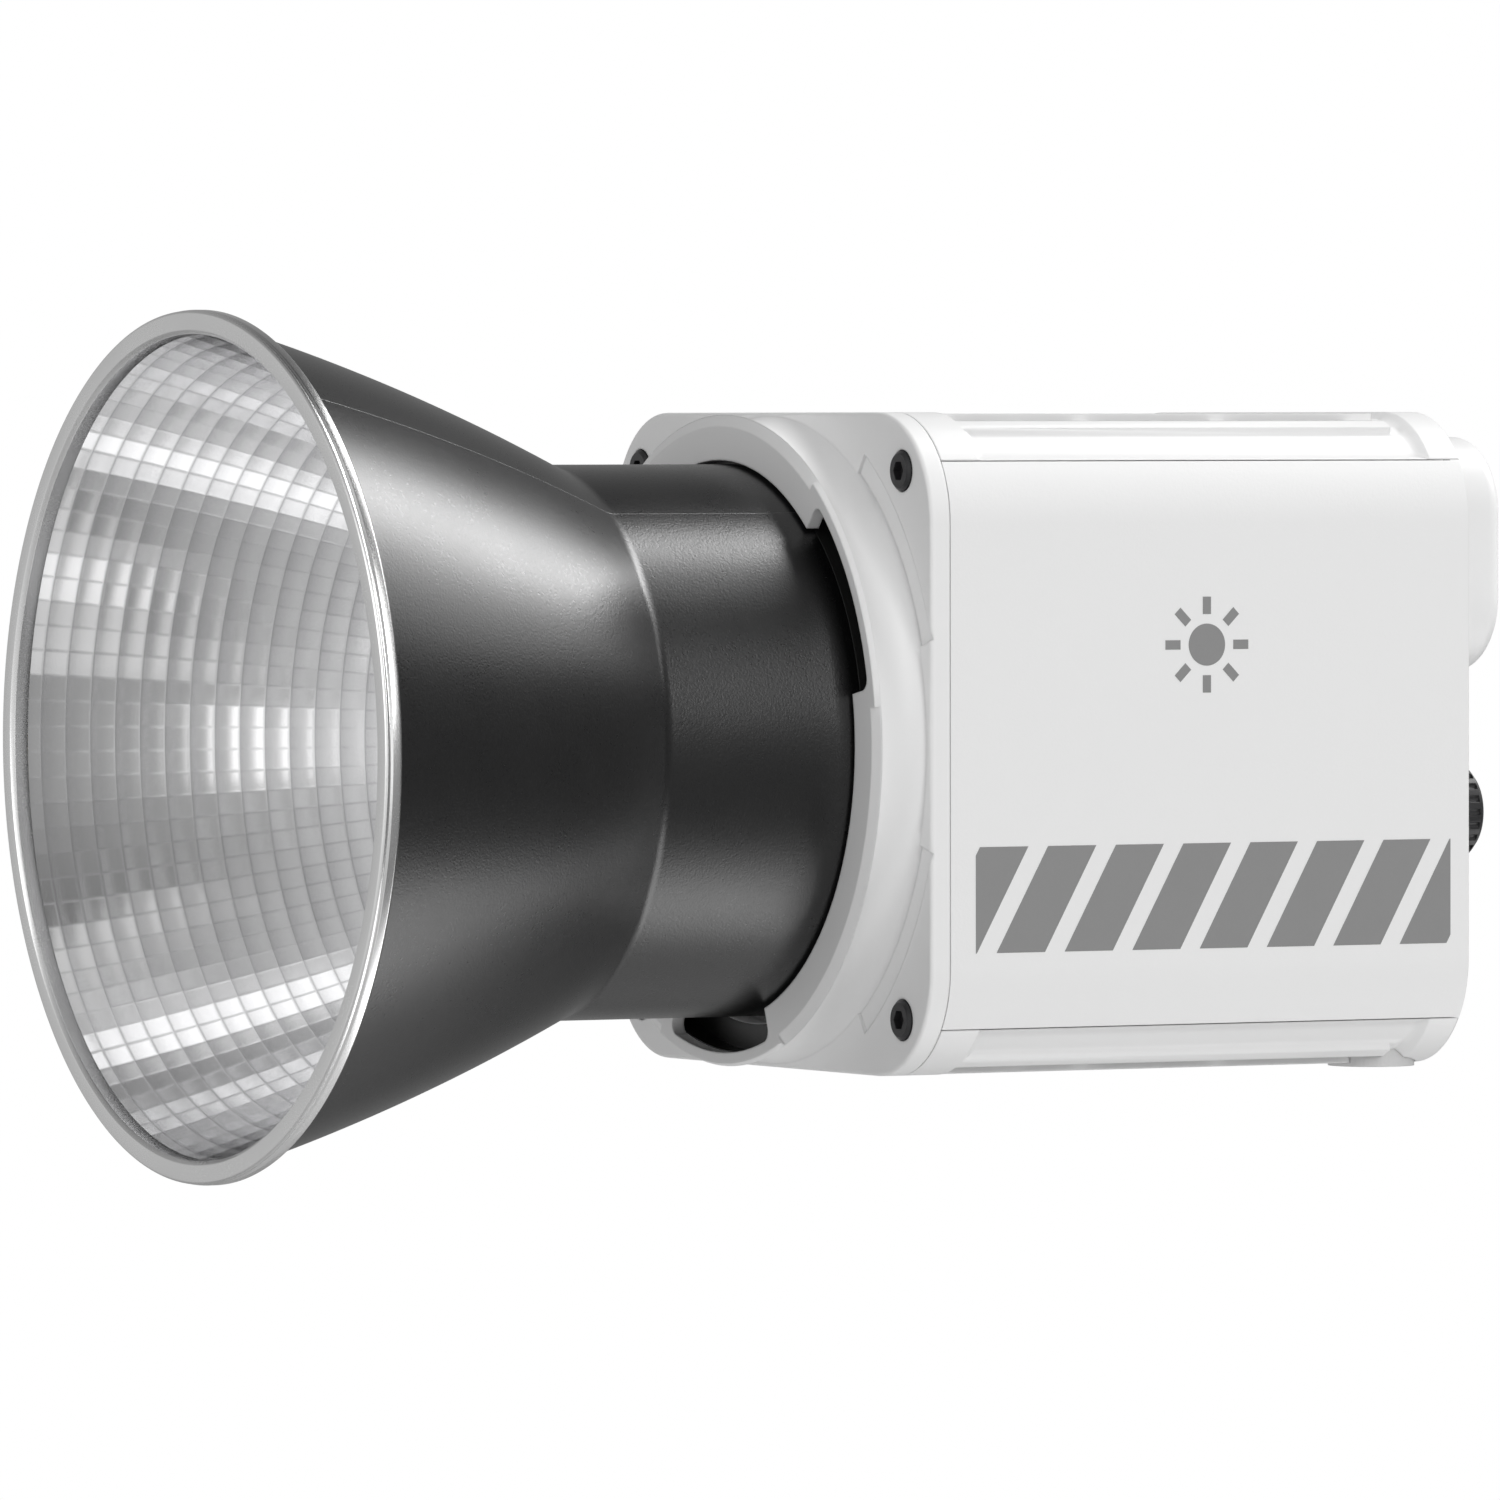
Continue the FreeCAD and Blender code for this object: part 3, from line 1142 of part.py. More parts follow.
# ---- stand block ----
def stand_block():
    """A metal block in the underside that holds the stand thread."""
    body = fused(
        box(("block_width", "block_length", "block_height - wall"),
            ("-block_width / 2", "-block_length / 2", "wall")),
        peg("block_boss_radius", "wall + 1", ("0", "0", "0")),
    )
    thread = peg("thread_radius", "thread_depth + 1", ("0", "0", "-1"))
    holes = [
        peg("block_screw_radius + thread_gap", "7", (f"{side} * block_screw_across", "0", "0"))
        for side in (-1, 1)
    ]
    return keep(cut(body, thread, *holes), "stand_block")


def stand_block_screws():
    screws = [
        fused(peg("block_screw_radius", "6", (f"{side} * block_screw_across", "0", "0.5")),
              peg("block_head_radius", "1.4", (f"{side} * block_screw_across", "0", "0.3")))
        for side in (-1, 1)
    ]
    return keep(group(*screws), "stand_block_screws")


# ---- reflector ----
def bayonet_springs():
    """Three leaves on the ledge that press the reflector's tabs against the lips."""
    leaves = []
    for middle in LIP_ANGLES:
        start = middle - number("spring_angle") / 2
        leaf = rod("lobe_radius - 0.2", "spring_thick", f"({LEDGE_FRONT}) - 0.05", angle="spring_angle",
                   start=start)
        leaves.append(cut(leaf, rod("ledge_radius + 0.3", "4", f"({LEDGE_FRONT}) + 2")))
    return keep(group(*leaves), "bayonet_springs")


def reflector_shell():
    body = turned([
        ("-neck_end", "neck_radius - shell_thick"), ("-neck_end", "neck_radius"),
        ("-neck_break", "neck_radius"), ("rim_length - mouth_distance", "mouth_radius"),
        ("rim_length - mouth_distance", "mouth_radius - shell_thick"),
        ("-neck_break", "neck_radius - shell_thick"),
    ], {2: ("cone_bow_radius", -1), 4: ("cone_bow_radius - shell_thick", 1)})
    return keep(body, "reflector_shell")


def reflector_liner():
    """The bright inside of the cone, which stops where the neck begins."""
    skin = "shell_thick + liner_gap"
    inner = f"{skin} + liner_thick"
    body = turned([
        ("-neck_break", f"neck_radius - ({inner})"), ("-neck_break", f"neck_radius - ({skin})"),
        ("rim_length - mouth_distance", f"mouth_radius - ({skin})"),
        ("rim_length - mouth_distance", f"mouth_radius - ({inner})"),
    ], {1: (f"cone_bow_radius - ({skin})", -1), 3: (f"cone_bow_radius - ({inner})", 1)})
    return keep(body, "reflector_liner")


def rim_ring():
    back = "rim_length - mouth_distance - 0.05"
    body = turned([
        (back, "rim_inner_radius - 0.6"), (back, "rim_radius - 0.9"),
        ("rim_length - mouth_distance - 0.7", "rim_radius"), ("0.8 - mouth_distance", "rim_radius"),
        ("-mouth_distance", "rim_radius - 0.9"), ("-mouth_distance", "rim_inner_radius + 0.5"),
        ("0.6 - mouth_distance", "rim_inner_radius - 0.6"),
    ])
    return keep(body, "rim_ring")


def bayonet_ring():
    """The ring in the end of the neck, with three tabs that lock behind the collar's lips."""
    inner = "neck_radius - shell_thick"
    body = turned([
        ("-neck_end - bayonet_spigot", f"{inner} - 1.4"),
        ("-neck_end - bayonet_spigot", f"{inner} - liner_gap"),
        ("-neck_end + 0.05", f"{inner} - liner_gap"), ("-neck_end + 0.05", "neck_radius"),
        ("bayonet_end", "neck_radius"), ("bayonet_end", f"{inner} - 1.4"),
    ])
    tab_back = f"({LIP_BACK}) + tab_play + tab_thick"
    hole = rod("neck_radius - 0.5", "12", "bayonet_end + 2")
    tabs = [
        cut(rod("tab_radius", "tab_thick", tab_back, angle="tab_angle",
                start=middle - number("tab_angle") / 2), hole)
        for middle in LIP_ANGLES
    ]
    return keep(fused(body, *tabs), "bayonet_ring")


def build():
    front_plate()
    front_screws()
    side_panel(1, "left_side_panel")
    side_panel(-1, "right_side_panel")
    top_cover()
    bottom_cover()
    rear_feet()
    rear_panel()
    rear_screws()
    display_housing()
    display_glass()
    display_module()
    for side, name in ((1, "brightness"), (-1, "colour")):
        knob(side, f"{name}_knob")
        encoder_shaft(side, f"{name}_shaft")
        encoder_plunger(side, f"{name}_plunger")
    encoders()
    for order, across in enumerate(BUTTON_PLACES, start=1):
        button(across, f"button_{order}")
    tact_switches()
    switch_housing()
    power_rocker()
    dc_inlet()
    dc_pin()
    usb_port()
    control_board()
    board_spacers()
    corner_posts()
    chassis_plate()
    protective_glass()
    glass_seal()
    light_funnel()
    led_holder()
    cob_led()
    phosphor()
    heat_pipes()
    heat_sink_fins()
    fan_frame()
    fan_rotor()
    fan_screws()
    driver_board()
    driver_components()
    stand_block()
    stand_block_screws()
    bayonet_springs()
    reflector_shell()
    reflector_liner()
    rim_ring()
    bayonet_ring()


def check():
    """Stops if any object failed, or a finished sub-part has no valid shape."""
    for thing in document.Objects:
        if {"Invalid", "Error"} & set(thing.State):
            raise RuntimeError(f"{thing.Name} ({thing.Label}) failed: {thing.State}")
    for thing in kept:
        if thing.Shape.isNull() or not thing.Shape.isValid():
            raise RuntimeError(f"{thing.Label} has no valid shape")


def export():
    os.makedirs("parts", exist_ok=True)
    for thing in kept:
        thing.Shape.exportStep(f"parts/{thing.Label}.step")


build()
document.recompute()
check()
export()
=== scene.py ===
"""The looks of a compact LED monolight with its hard reflector: finishes, printed marks, the bright
faceted inside of the reflector, the studio and the camera. Lengths are in metres in the frame's axes."""

import json
import math

import bmesh
import bpy
from mathutils import Matrix, Vector


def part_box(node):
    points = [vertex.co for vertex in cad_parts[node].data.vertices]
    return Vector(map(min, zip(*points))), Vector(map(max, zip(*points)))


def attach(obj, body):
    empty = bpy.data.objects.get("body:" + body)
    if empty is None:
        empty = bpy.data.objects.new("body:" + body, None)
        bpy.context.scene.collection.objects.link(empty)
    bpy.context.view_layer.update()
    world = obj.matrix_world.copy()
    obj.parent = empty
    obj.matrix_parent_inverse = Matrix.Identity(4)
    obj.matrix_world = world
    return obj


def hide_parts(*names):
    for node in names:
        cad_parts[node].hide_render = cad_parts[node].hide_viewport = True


MM = 0.001

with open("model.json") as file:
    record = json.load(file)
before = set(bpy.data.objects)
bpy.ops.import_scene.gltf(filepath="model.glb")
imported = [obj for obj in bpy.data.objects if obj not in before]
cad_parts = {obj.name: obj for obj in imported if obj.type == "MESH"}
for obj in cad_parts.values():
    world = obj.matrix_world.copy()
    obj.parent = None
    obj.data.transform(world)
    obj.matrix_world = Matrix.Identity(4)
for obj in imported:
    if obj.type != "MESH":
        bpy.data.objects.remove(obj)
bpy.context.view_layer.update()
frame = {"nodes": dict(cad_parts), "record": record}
nodes = frame["nodes"]
bodies = frame["record"]["behaviour"]["bodies"]
node_body = {node: body for body, members in bodies.items() for node in members}
slot_of = {part["node"]: part["material_slot"] for part in frame["record"]["subparts"]}

# ---- places read from the frame ----
PANEL_BEHIND_FACE = 3.1 * MM
PANEL_LOW, PANEL_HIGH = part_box("left_side_panel")
RIM_LOW, RIM_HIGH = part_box("rim_ring")
SHELL_LOW, SHELL_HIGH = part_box("reflector_shell")
SIDE = PANEL_HIGH.x
AXIS = (RIM_LOW.z + RIM_HIGH.z) / 2
FACE = PANEL_LOW.y - PANEL_BEHIND_FACE
RIM_FRONT = RIM_LOW.y
RIM_BACK = RIM_HIGH.y
RIM_RADIUS = (RIM_HIGH.z - RIM_LOW.z) / 2
MOUTH_RADIUS = (SHELL_HIGH.z - SHELL_LOW.z) / 2
NECK_END = SHELL_HIGH.y
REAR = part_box("rear_panel")[1].y

# ---- reflector sizes ----
NECK_RADIUS = 38.33 * MM
NECK_BREAK = FACE - 36.4 * MM
CONE_BOW = 320 * MM
SHELL_WALL = 1 * MM
LINER_INSET = 1.05 * MM
LINER_BEHIND_RIM = 1.5 * MM
LINER_MOUTH_EXTRA = 0.35 * MM
LINER_SHEET = 0.3 * MM
CREASE_ROUNDING = 0.9 * MM
SHEET_JOIN = math.radians(55.8)
FACETS_AROUND = 98
FACET_LENGTH = 3.22 * MM
FACET_DIP = 0.034 * MM
FACET_DIP_AROUND = 0.012 * MM
FACET_CUTS = 4
# the rolled rim, as (behind its front, in from its outside) in millimetres
RIM_PROFILE = (
    (2.55, 1.9), (2.55, 0.5), (2.1, 0), (1.0, 0), (0.72, 0.22), (0.55, 0.22),
    (0.3, 0.1), (0, 0.45), (0, 2.75), (0.55, 3.3), (2.55, 3.35),
)
RIM_CORNER = 0.1 * MM
RIM_ROUND = 320

# ---- collar sizes ----
GROOVE_RADIUS = 43.3 * MM
GROOVE_LEDGE_RADIUS = 39.5 * MM
GROOVE_FRONT = FACE - 5.9 * MM
GROOVE_BACK = FACE - 2.4 * MM
# thickness of the black sheet laid in the groove as painted shade
GROOVE_SHADE_SHEET = 0.16 * MM

# ---- printed marks ----
STRIPES_START, STRIPES_END = FACE + 7.0 * MM, FACE + 82.7 * MM
STRIPES_TOP, STRIPES_BOTTOM = AXIS - 13.8 * MM, AXIS - 28.3 * MM
STRIPE_FIRST = FACE + 7.65 * MM
STRIPE_COUNT = 8
STRIPE_PITCH, STRIPE_WIDTH, STRIPE_SLANT = 10.7 * MM, 7.6 * MM, 8.1 * MM
SUN_ALONG, SUN_UP = FACE + 43.5 * MM, AXIS + 13.5 * MM
SUN_DISC = 2.9 * MM
SUN_RAYS = 8
RAY_START, RAY_END, RAY_HALF_WIDTH = 4.2 * MM, 6.6 * MM, 0.65 * MM
INK_PROUD = 0.03 * MM
# turns in degrees
TICK_COUNT, TICK_FIRST, TICK_STEP = 11, -135, 27
TICK_LONG, TICK_SHORT, TICK_WIDTH = 1.5 * MM, 0.9 * MM, 0.3 * MM
TICK_RADIUS = 8.3 * MM
ROCKER_TILT = -7
ROCKER_PIVOT = REAR - 1.2 * MM
ROCKER_LEAN = math.atan2(0.8, 6.5)
ROCKER_MARK_ACROSS, ROCKER_MARK_OUT = 3.6 * MM, 2.655 * MM
ROCKER_BAR = (0.5 * MM, 0.04 * MM, 3 * MM)
# section of the ring, as (place along, radius) in millimetres
ROCKER_RING = ((-0.02, 1.1), (0.02, 1.1), (0.02, 1.5), (-0.02, 1.5))

# ---- studio ----
FLOOR_HEIGHT, FLOOR_RADIUS = -1.0, 1.3
# axis, sign and strength of the room's own light
WALL_LIGHT = ((0, 1, 0.30), (0, -1, 0.45), (1, 1, 0.12), (1, -1, 0.90))
# name, way from the object, distance, width, height, power
LIGHTS = (
    ("overhead", (0.10, 0.76, 0.62), 1.35, 0.9, 1.0, 6.5),
    ("overhead_strip", (0, 0.70, 0.71), 1.3, 0.35, 0.9, 8.5),
    ("underneath", (0.30, 0.62, -0.72), 1.15, 0.6, 0.9, 4.2),
    ("beside_camera", (0.85, -0.527, 0), 1.8, 0.8, 0.8, 2.0),
    ("low_side", (0.75, -0.3, -0.6), 1.0, 0.7, 0.6, 0.5),
    ("front", (0.05, -1.0, 0.25), 1.7, 0.9, 0.9, 3.5),
    ("side", (0.95, 0.15, 0.45), 1.4, 0.6, 0.8, 8.8),
    ("over_front", (0.3, -0.3, 0.9), 1.2, 0.8, 0.8, 1.0),
)
CAMERA_AZIMUTH, CAMERA_ELEVATION, CAMERA_ROLL = (math.radians(turn) for turn in (61.56, 1.39, -0.06))
CAMERA_DISTANCE = 1.870
HEART = Vector((0, -0.05, AXIS))
CAMERA_AIM = Vector((-0.00085, FACE - 2.6 * MM, AXIS - 1.4 * MM))
LENS, SENSOR = 322.9, 36

# ---- shapes ----
ROUND = 256
SMOOTH_DEGREES, FLAT_DEGREES = 24, 0.3
SAME_PLACE, NO_LENGTH = 2e-6, 1e-7
CHIP_PITCH = 1.9 * MM
REMADE = {"reflector_shell", "reflector_liner", "rim_ring"}
TEXTURED = {"left_side_panel", "right_side_panel", "rear_panel"}


# ---------------------------------------------------------------- shader maths
class Wire:
    """One socket of a material's nodes, which can be used in sums."""

    def __init__(self, tree, socket):
        self.tree = tree
        self.socket = socket

    def maths(self, operation, *values):
        node = self.tree.nodes.new("ShaderNodeMath")
        node.operation = operation
        for entry, value in zip(node.inputs, values):
            feed(self.tree, entry, value)
        return Wire(self.tree, node.outputs[0])

    def __add__(self, other):
        return self.maths("ADD", self, other)

    __radd__ = __add__

    def __sub__(self, other):
        return self.maths("SUBTRACT", self, other)

    def __rsub__(self, other):
        return self.maths("SUBTRACT", other, self)

    def __mul__(self, other):
        return self.maths("MULTIPLY", self, other)

    __rmul__ = __mul__

    def __truediv__(self, other):
        return self.maths("DIVIDE", self, other)

    def __pow__(self, other):
        return self.maths("POWER", self, other)

    def __abs__(self):
        return self.maths("ABSOLUTE", self)

    def clamp(self):
        return self.maths("MINIMUM", self.maths("MAXIMUM", self, 0), 1)

    def below(self, limit, soft):
        """1 where the value is under a limit and 0 where it is over, with a soft step."""
        return ((limit - self) / soft + 0.5).clamp()

    def wave(self):
        return self.maths("SINE", self)


def feed(tree, entry, value):
    """Puts a link or a plain value on a node's input."""
    if isinstance(value, Wire):
        tree.links.new(value.socket, entry)
    elif entry.type == "RGBA" and len(value) == 3:
        entry.default_value = (*value, 1)
    else:
        entry.default_value = value


class Finish:
    """A material: its nodes and its Principled shader."""

    def __init__(self, name):
        self.material = bpy.data.materials.new(name)
        self.material.use_nodes = True
        self.tree = self.material.node_tree
        self.tree.nodes.clear()
        output = self.tree.nodes.new("ShaderNodeOutputMaterial")
        self.shader = self.tree.nodes.new("ShaderNodeBsdfPrincipled")
        self.tree.links.new(self.shader.outputs[0], output.inputs["Surface"])
        self.place = self.node("ShaderNodeTexCoord", output="Object")

    def node(self, kind, settings=None, sockets=None, output=0):
        """Any node: its settings are set first, then the values or links of its sockets."""
        node = self.tree.nodes.new(kind)
        for key, value in (settings or {}).items():
            setattr(node, key, value)
        for key, value in (sockets or {}).items():
            feed(self.tree, node.inputs[key], value)
        return Wire(self.tree, node.outputs[output])

    def noise(self, size, detail=2, stretch=(1, 1, 1), roughness=0.5):
        """Noise whose lumps are about size across, in metres."""
        place = self.node("ShaderNodeMapping", None, {"Vector": self.place, "Scale": stretch})
        sockets = {"Vector": place, "Scale": 1 / size, "Detail": detail, "Roughness": roughness}
        return self.node("ShaderNodeTexNoise", None, sockets, "Fac")

    def grains(self, size):
        """Cells about size across, as the distance to each cell's middle."""
        sockets = {"Vector": self.place, "Scale": 1 / size}
        return self.node("ShaderNodeTexVoronoi", None, sockets, "Distance")

    def axes(self):
        """The object's own X, Y and Z."""
        split = self.node("ShaderNodeSeparateXYZ", None, {"Vector": self.place}).socket.node
        return [Wire(self.tree, split.outputs[index]) for index in range(3)]

    def mixed(self, amount, first, second):
        """One colour over another."""
        return self.node("ShaderNodeMix", {"data_type": "RGBA"}, {0: amount, 6: first, 7: second}, 2)

    def bump(self, height, distance, under=None):
        """Relief up to a distance in metres, over another normal where one is given."""
        sockets = {"Height": height, "Distance": distance, "Strength": 1.0}
        if under is not None:
            sockets["Normal"] = under
        return self.node("ShaderNodeBump", None, sockets, "Normal")

    def soft_edges(self, radius):
        """Rounded corners in the shading, as a casting or a coat of paint has."""
        return self.node("ShaderNodeBevel", {"samples": 6}, {"Radius": radius}, "Normal")

    def set(self, **values):
        """Sockets of the shader; underscores stand for spaces."""
        for key, value in values.items():
            feed(self.tree, self.shader.inputs[key.replace("_", " ")], value)


def scaled(colour, amount):
    """A lighter or darker colour."""
    return tuple(channel * amount for channel in colour)


# ---------------------------------------------------------------- finishes
def white_coat(name, colour, grain, depth, roughness, edge=0.3 * MM):
    """Fine textured white paint."""
    finish = Finish(name)
    cloud = finish.noise(30 * MM, 2)
    speck = finish.noise(grain, 3, roughness=0.6)
    tone = finish.mixed(cloud * 0.6 + speck * 0.4, scaled(colour, 0.975), colour)
    normal = finish.bump(speck, depth, finish.soft_edges(edge))
    finish.set(Base_Color=tone, Roughness=(speck - 0.5) * 0.16 + roughness, Normal=normal, IOR=1.45)
    return finish.material


def black_coat(name, colour=(0.0035, 0.0035, 0.0037)):
    """Satin black stove enamel with a fine orange peel, and the faint raised line where the sheet is
    joined, also painted lighter grey as a painted highlight.
    """
    finish = Finish(name)
    across, _, up = finish.axes()
    peel = finish.noise(0.42 * MM, 2, roughness=0.5)
    fine = finish.grains(0.3 * MM)
    smear = finish.noise(9 * MM, 3)
    angle = finish.node("ShaderNodeMath", {"operation": "ARCTAN2"}, {0: up - AXIS, 1: across})
    line = abs(angle - SHEET_JOIN).below(0.0022, 0.002)
    height = peel * 0.7 + fine * 0.5 + line * 1.2
    # the join is painted lighter grey: a painted highlight along its ridge
    tone = finish.mixed(line * 0.55, finish.mixed(smear, scaled(colour, 0.85), scaled(colour, 1.2)),
                        (0.06, 0.06, 0.06))
    finish.set(Base_Color=tone, Roughness=(peel - 0.5) * 0.10 + smear * 0.05 + 0.27,
               Normal=finish.bump(height, 0.018 * MM), Specular_IOR_Level=0.8)
    return finish.material


def bright_metal(name, colour, roughness, grain=0.25 * MM, depth=0.002 * MM):
    """Polished aluminium sheet with faint rolling grain and dust."""
    finish = Finish(name)
    fine = finish.noise(grain, 3, roughness=0.6)
    cloud = finish.noise(12 * MM, 2)
    tone = finish.mixed(fine * 0.35 + cloud * 0.65, scaled(colour, 0.93), colour)
    finish.set(Base_Color=tone, Metallic=1.0, Normal=finish.bump(fine, depth),
               Roughness=(cloud - 0.5) * 0.05 + (fine - 0.5) * 0.08 + roughness)
    return finish.material


def pressed_facets(name, bright, dark):
    """Bright aluminium pressed in facets, with painted shade: each facet's colour darkens towards its
    near side and along its borders, plus a little random tone.
    """
    finish = Finish(name)
    place = finish.node("ShaderNodeUVMap", {"uv_map": "facets"})
    around, along = (finish.node("ShaderNodeSeparateXYZ", None, {0: place}, way) for way in (0, 1))
    shares = [value.maths("FRACT", value) for value in (around, along)]
    borders = [1 - abs(share * 2 - 1).below(0.90, 0.2) for share in shares]
    border = borders[0].maths("MAXIMUM", *borders)
    cell = finish.node("ShaderNodeCombineXYZ", None,
                       {0: around.maths("FLOOR", around), 1: along.maths("FLOOR", along)})
    chance = finish.node("ShaderNodeTexWhiteNoise", {"noise_dimensions": "3D"}, {0: cell})
    grain = finish.noise(0.2 * MM, 3, roughness=0.6)
    # painted shade towards each facet's near side and along its borders, with random tone and grain on
    # top
    painted_shade_and_tone = border * 0.26 + (1 - shares[1]) ** 2 * 0.38 + (chance - 0.5) * 0.12 + (grain - 0.5) * 0.1
    finish.set(Base_Color=finish.mixed(painted_shade_and_tone.clamp(), bright, dark), Metallic=1.0,
               Roughness=border * 0.12 + (grain - 0.5) * 0.06 + 0.13,
               Normal=finish.bump(grain * 0.3 - border, 0.003 * MM))
    return finish.material


def turned_metal(name, colour, roughness):
    """Metal with fine turning rings round the light's axis."""
    finish = Finish(name)
    rings = finish.noise(0.35 * MM, 2, (0.02, 1, 0.02))
    tone = finish.mixed(rings, scaled(colour, 0.9), colour)
    finish.set(Base_Color=tone, Metallic=1.0, Roughness=(rings - 0.5) * 0.1 + roughness,
               Normal=finish.bump(rings, 0.003 * MM, finish.soft_edges(0.15 * MM)))
    return finish.material


def moulded(name, colour, roughness, grain=0.5 * MM, depth=0.008 * MM, edge=0.2 * MM, coat=0.0):
    """Moulded plastic or rubber with a fine spark-eroded grain."""
    finish = Finish(name)
    speck = finish.noise(grain, 3, roughness=0.6)
    cloud = finish.noise(15 * MM, 2)
    tone = finish.mixed(cloud * 0.6 + speck * 0.4, scaled(colour, 0.88), scaled(colour, 1.06))
    normal = finish.bump(speck, depth, finish.soft_edges(edge))
    finish.set(Base_Color=tone, Roughness=(speck - 0.5) * 0.14 + roughness, Normal=normal,
               Coat_Weight=coat)
    return finish.material


def black_oxide(name):
    """Blackened steel, oily, with a speckled lighter and darker tone."""
    finish = Finish(name)
    speck = finish.noise(0.2 * MM, 4, roughness=0.7)
    tone = finish.mixed(speck, (0.012, 0.012, 0.013), (0.045, 0.045, 0.047))
    normal = finish.bump(speck, 0.01 * MM, finish.soft_edges(0.14 * MM))
    finish.set(Base_Color=tone, Metallic=0.35, Roughness=(speck - 0.5) * 0.3 + 0.38, Normal=normal)
    return finish.material


def printed(name, colour):
    """Screen-printed ink, a little matt, with the paint's grain coming through."""
    finish = Finish(name)
    speck = finish.noise(0.28 * MM, 3, roughness=0.6)
    cloud = finish.noise(6 * MM, 2)
    tone = finish.mixed(speck * 0.6 + cloud * 0.4, scaled(colour, 0.92), scaled(colour, 1.05))
    finish.set(Base_Color=tone, Roughness=(speck - 0.5) * 0.15 + 0.55,
               Normal=finish.bump(speck, 0.012 * MM))
    return finish.material


def clear_glass(name):
    """Tempered cover glass."""
    finish = Finish(name)
    dust = finish.noise(1.2 * MM, 4, roughness=0.7)
    finish.set(Base_Color=(0.96, 0.98, 0.98), Roughness=(dust - 0.5).clamp() * 0.08 + 0.02,
               Transmission_Weight=1.0, IOR=1.47)
    return finish.material


def phosphor_gel(name):
    """The yellow light-emitting surface: a gel with rows of chips showing through."""
    finish = Finish(name)
    across, _, up = finish.axes()
    turns = 2 * math.pi / CHIP_PITCH
    rows = (across * turns).wave() * ((up - AXIS) * turns).wave()
    chips = rows.below(0.35, 0.3)
    speck = finish.noise(0.3 * MM, 3)
    tone = finish.mixed(chips * 0.7 + speck * 0.3, (0.62, 0.42, 0.05), (0.86, 0.66, 0.12))
    finish.set(Base_Color=tone, Roughness=0.32, Normal=finish.bump(speck, 0.01 * MM), Coat_Weight=0.4)
    return finish.material


def circuit(name):
    """Solder mask over copper tracks."""
    finish = Finish(name)
    cells = finish.node("ShaderNodeTexVoronoi", {"distance": "CHEBYCHEV"},
                        {"Vector": finish.place, "Scale": 1 / (4 * MM)}, "Distance")
    track = abs(cells - 0.42).below(0.03, 0.02)
    tone = finish.mixed(track * 0.6, (0.006, 0.045, 0.02), (0.02, 0.12, 0.05))
    finish.set(Base_Color=tone, Roughness=0.35, Normal=finish.bump(track, 0.03 * MM))
    return finish.material


def dark_screen(name):
    """An unlit display behind smoked glass, with its active area just visible."""
    finish = Finish(name)
    across, _, up = finish.axes()
    middle = (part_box("display_glass")[0].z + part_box("display_glass")[1].z) / 2
    area = abs(across).below(24 * MM, 0.2 * MM) * abs(up - middle).below(8 * MM, 0.2 * MM)
    speck = finish.noise(0.4 * MM, 3)
    tone = finish.mixed(area, (0.004, 0.004, 0.005), (0.012, 0.014, 0.017))
    finish.set(Base_Color=tone, Roughness=speck * 0.03 + 0.06, Coat_Weight=0.6, IOR=1.5)
    return finish.material


WHITE = (0.80, 0.80, 0.80)
FINISHES = {
    "case_white": white_coat("white_satin_paint", WHITE, 0.35 * MM, 0.006 * MM, 0.46, 0.45 * MM),
    "panel_white": white_coat("white_textured_paint", WHITE, 0.4 * MM, 0.022 * MM, 0.52, 0.18 * MM),
    "housing_white": white_coat("white_moulding", WHITE, 0.3 * MM, 0.005 * MM, 0.4, 0.25 * MM),
    "foot": moulded("grey_rubber_foot", (0.6, 0.6, 0.6), 0.7),
    "screw_black": black_oxide("black_oxide"),
    "display_glass": dark_screen("dark_screen"),
    "module": moulded("display_module", (0.05, 0.06, 0.06), 0.5),
    "knob_black": moulded("knob_black", (0.016, 0.016, 0.017), 0.42, 0.35 * MM, 0.01 * MM, 0.18 * MM),
    "button_grey": moulded("button_grey", (0.16, 0.16, 0.165), 0.5),
    "rocker_black": moulded("rocker_black", (0.012, 0.012, 0.012), 0.25, 0.8 * MM, 0.003 * MM,
                            0.25 * MM, 0.3),
    "inner_plastic": moulded("black_plastic", (0.02, 0.02, 0.02), 0.5),
    "steel": turned_metal("plain_steel", (0.62, 0.62, 0.63), 0.3),
    "brass": turned_metal("brass", (0.78, 0.6, 0.3), 0.3),
    "board": circuit("solder_mask"),
    "component_black": moulded("component_black", (0.02, 0.02, 0.02), 0.45),
    "aluminium": bright_metal("mill_aluminium", (0.74, 0.74, 0.75), 0.38, 0.4 * MM, 0.004 * MM),
    "copper": bright_metal("copper", (0.86, 0.46, 0.3), 0.3),
    "clear_glass": clear_glass("clear_glass"),
    "seal": moulded("silicone_seal", (0.6, 0.6, 0.6), 0.6),
    "funnel_white": moulded("funnel_white", (0.82, 0.82, 0.82), 0.5),
    "led_substrate": bright_metal("led_substrate", (0.8, 0.8, 0.78), 0.45),
    "phosphor": phosphor_gel("phosphor_gel"),
    "block_metal": turned_metal("block_metal", (0.5, 0.5, 0.5), 0.35),
    "shell_black": black_coat("black_satin_coat"),
    "ring_black": moulded("ring_black", (0.014, 0.014, 0.014), 0.4, 0.4 * MM, 0.006 * MM, 0.2 * MM),
    # the pressed sheet's second colour is the painted shade of its facets, also used for their random
    # tone
    "bright_silver": pressed_facets("pressed_sheet", (0.95, 0.95, 0.955), (0.38, 0.38, 0.39)),
    "rim_silver": bright_metal("satin_rim", (0.8, 0.8, 0.8), 0.26),
    "print_grey": printed("grey_ink", (0.24, 0.24, 0.24)),
    "print_black": printed("black_ink", (0.03, 0.03, 0.03)),
}


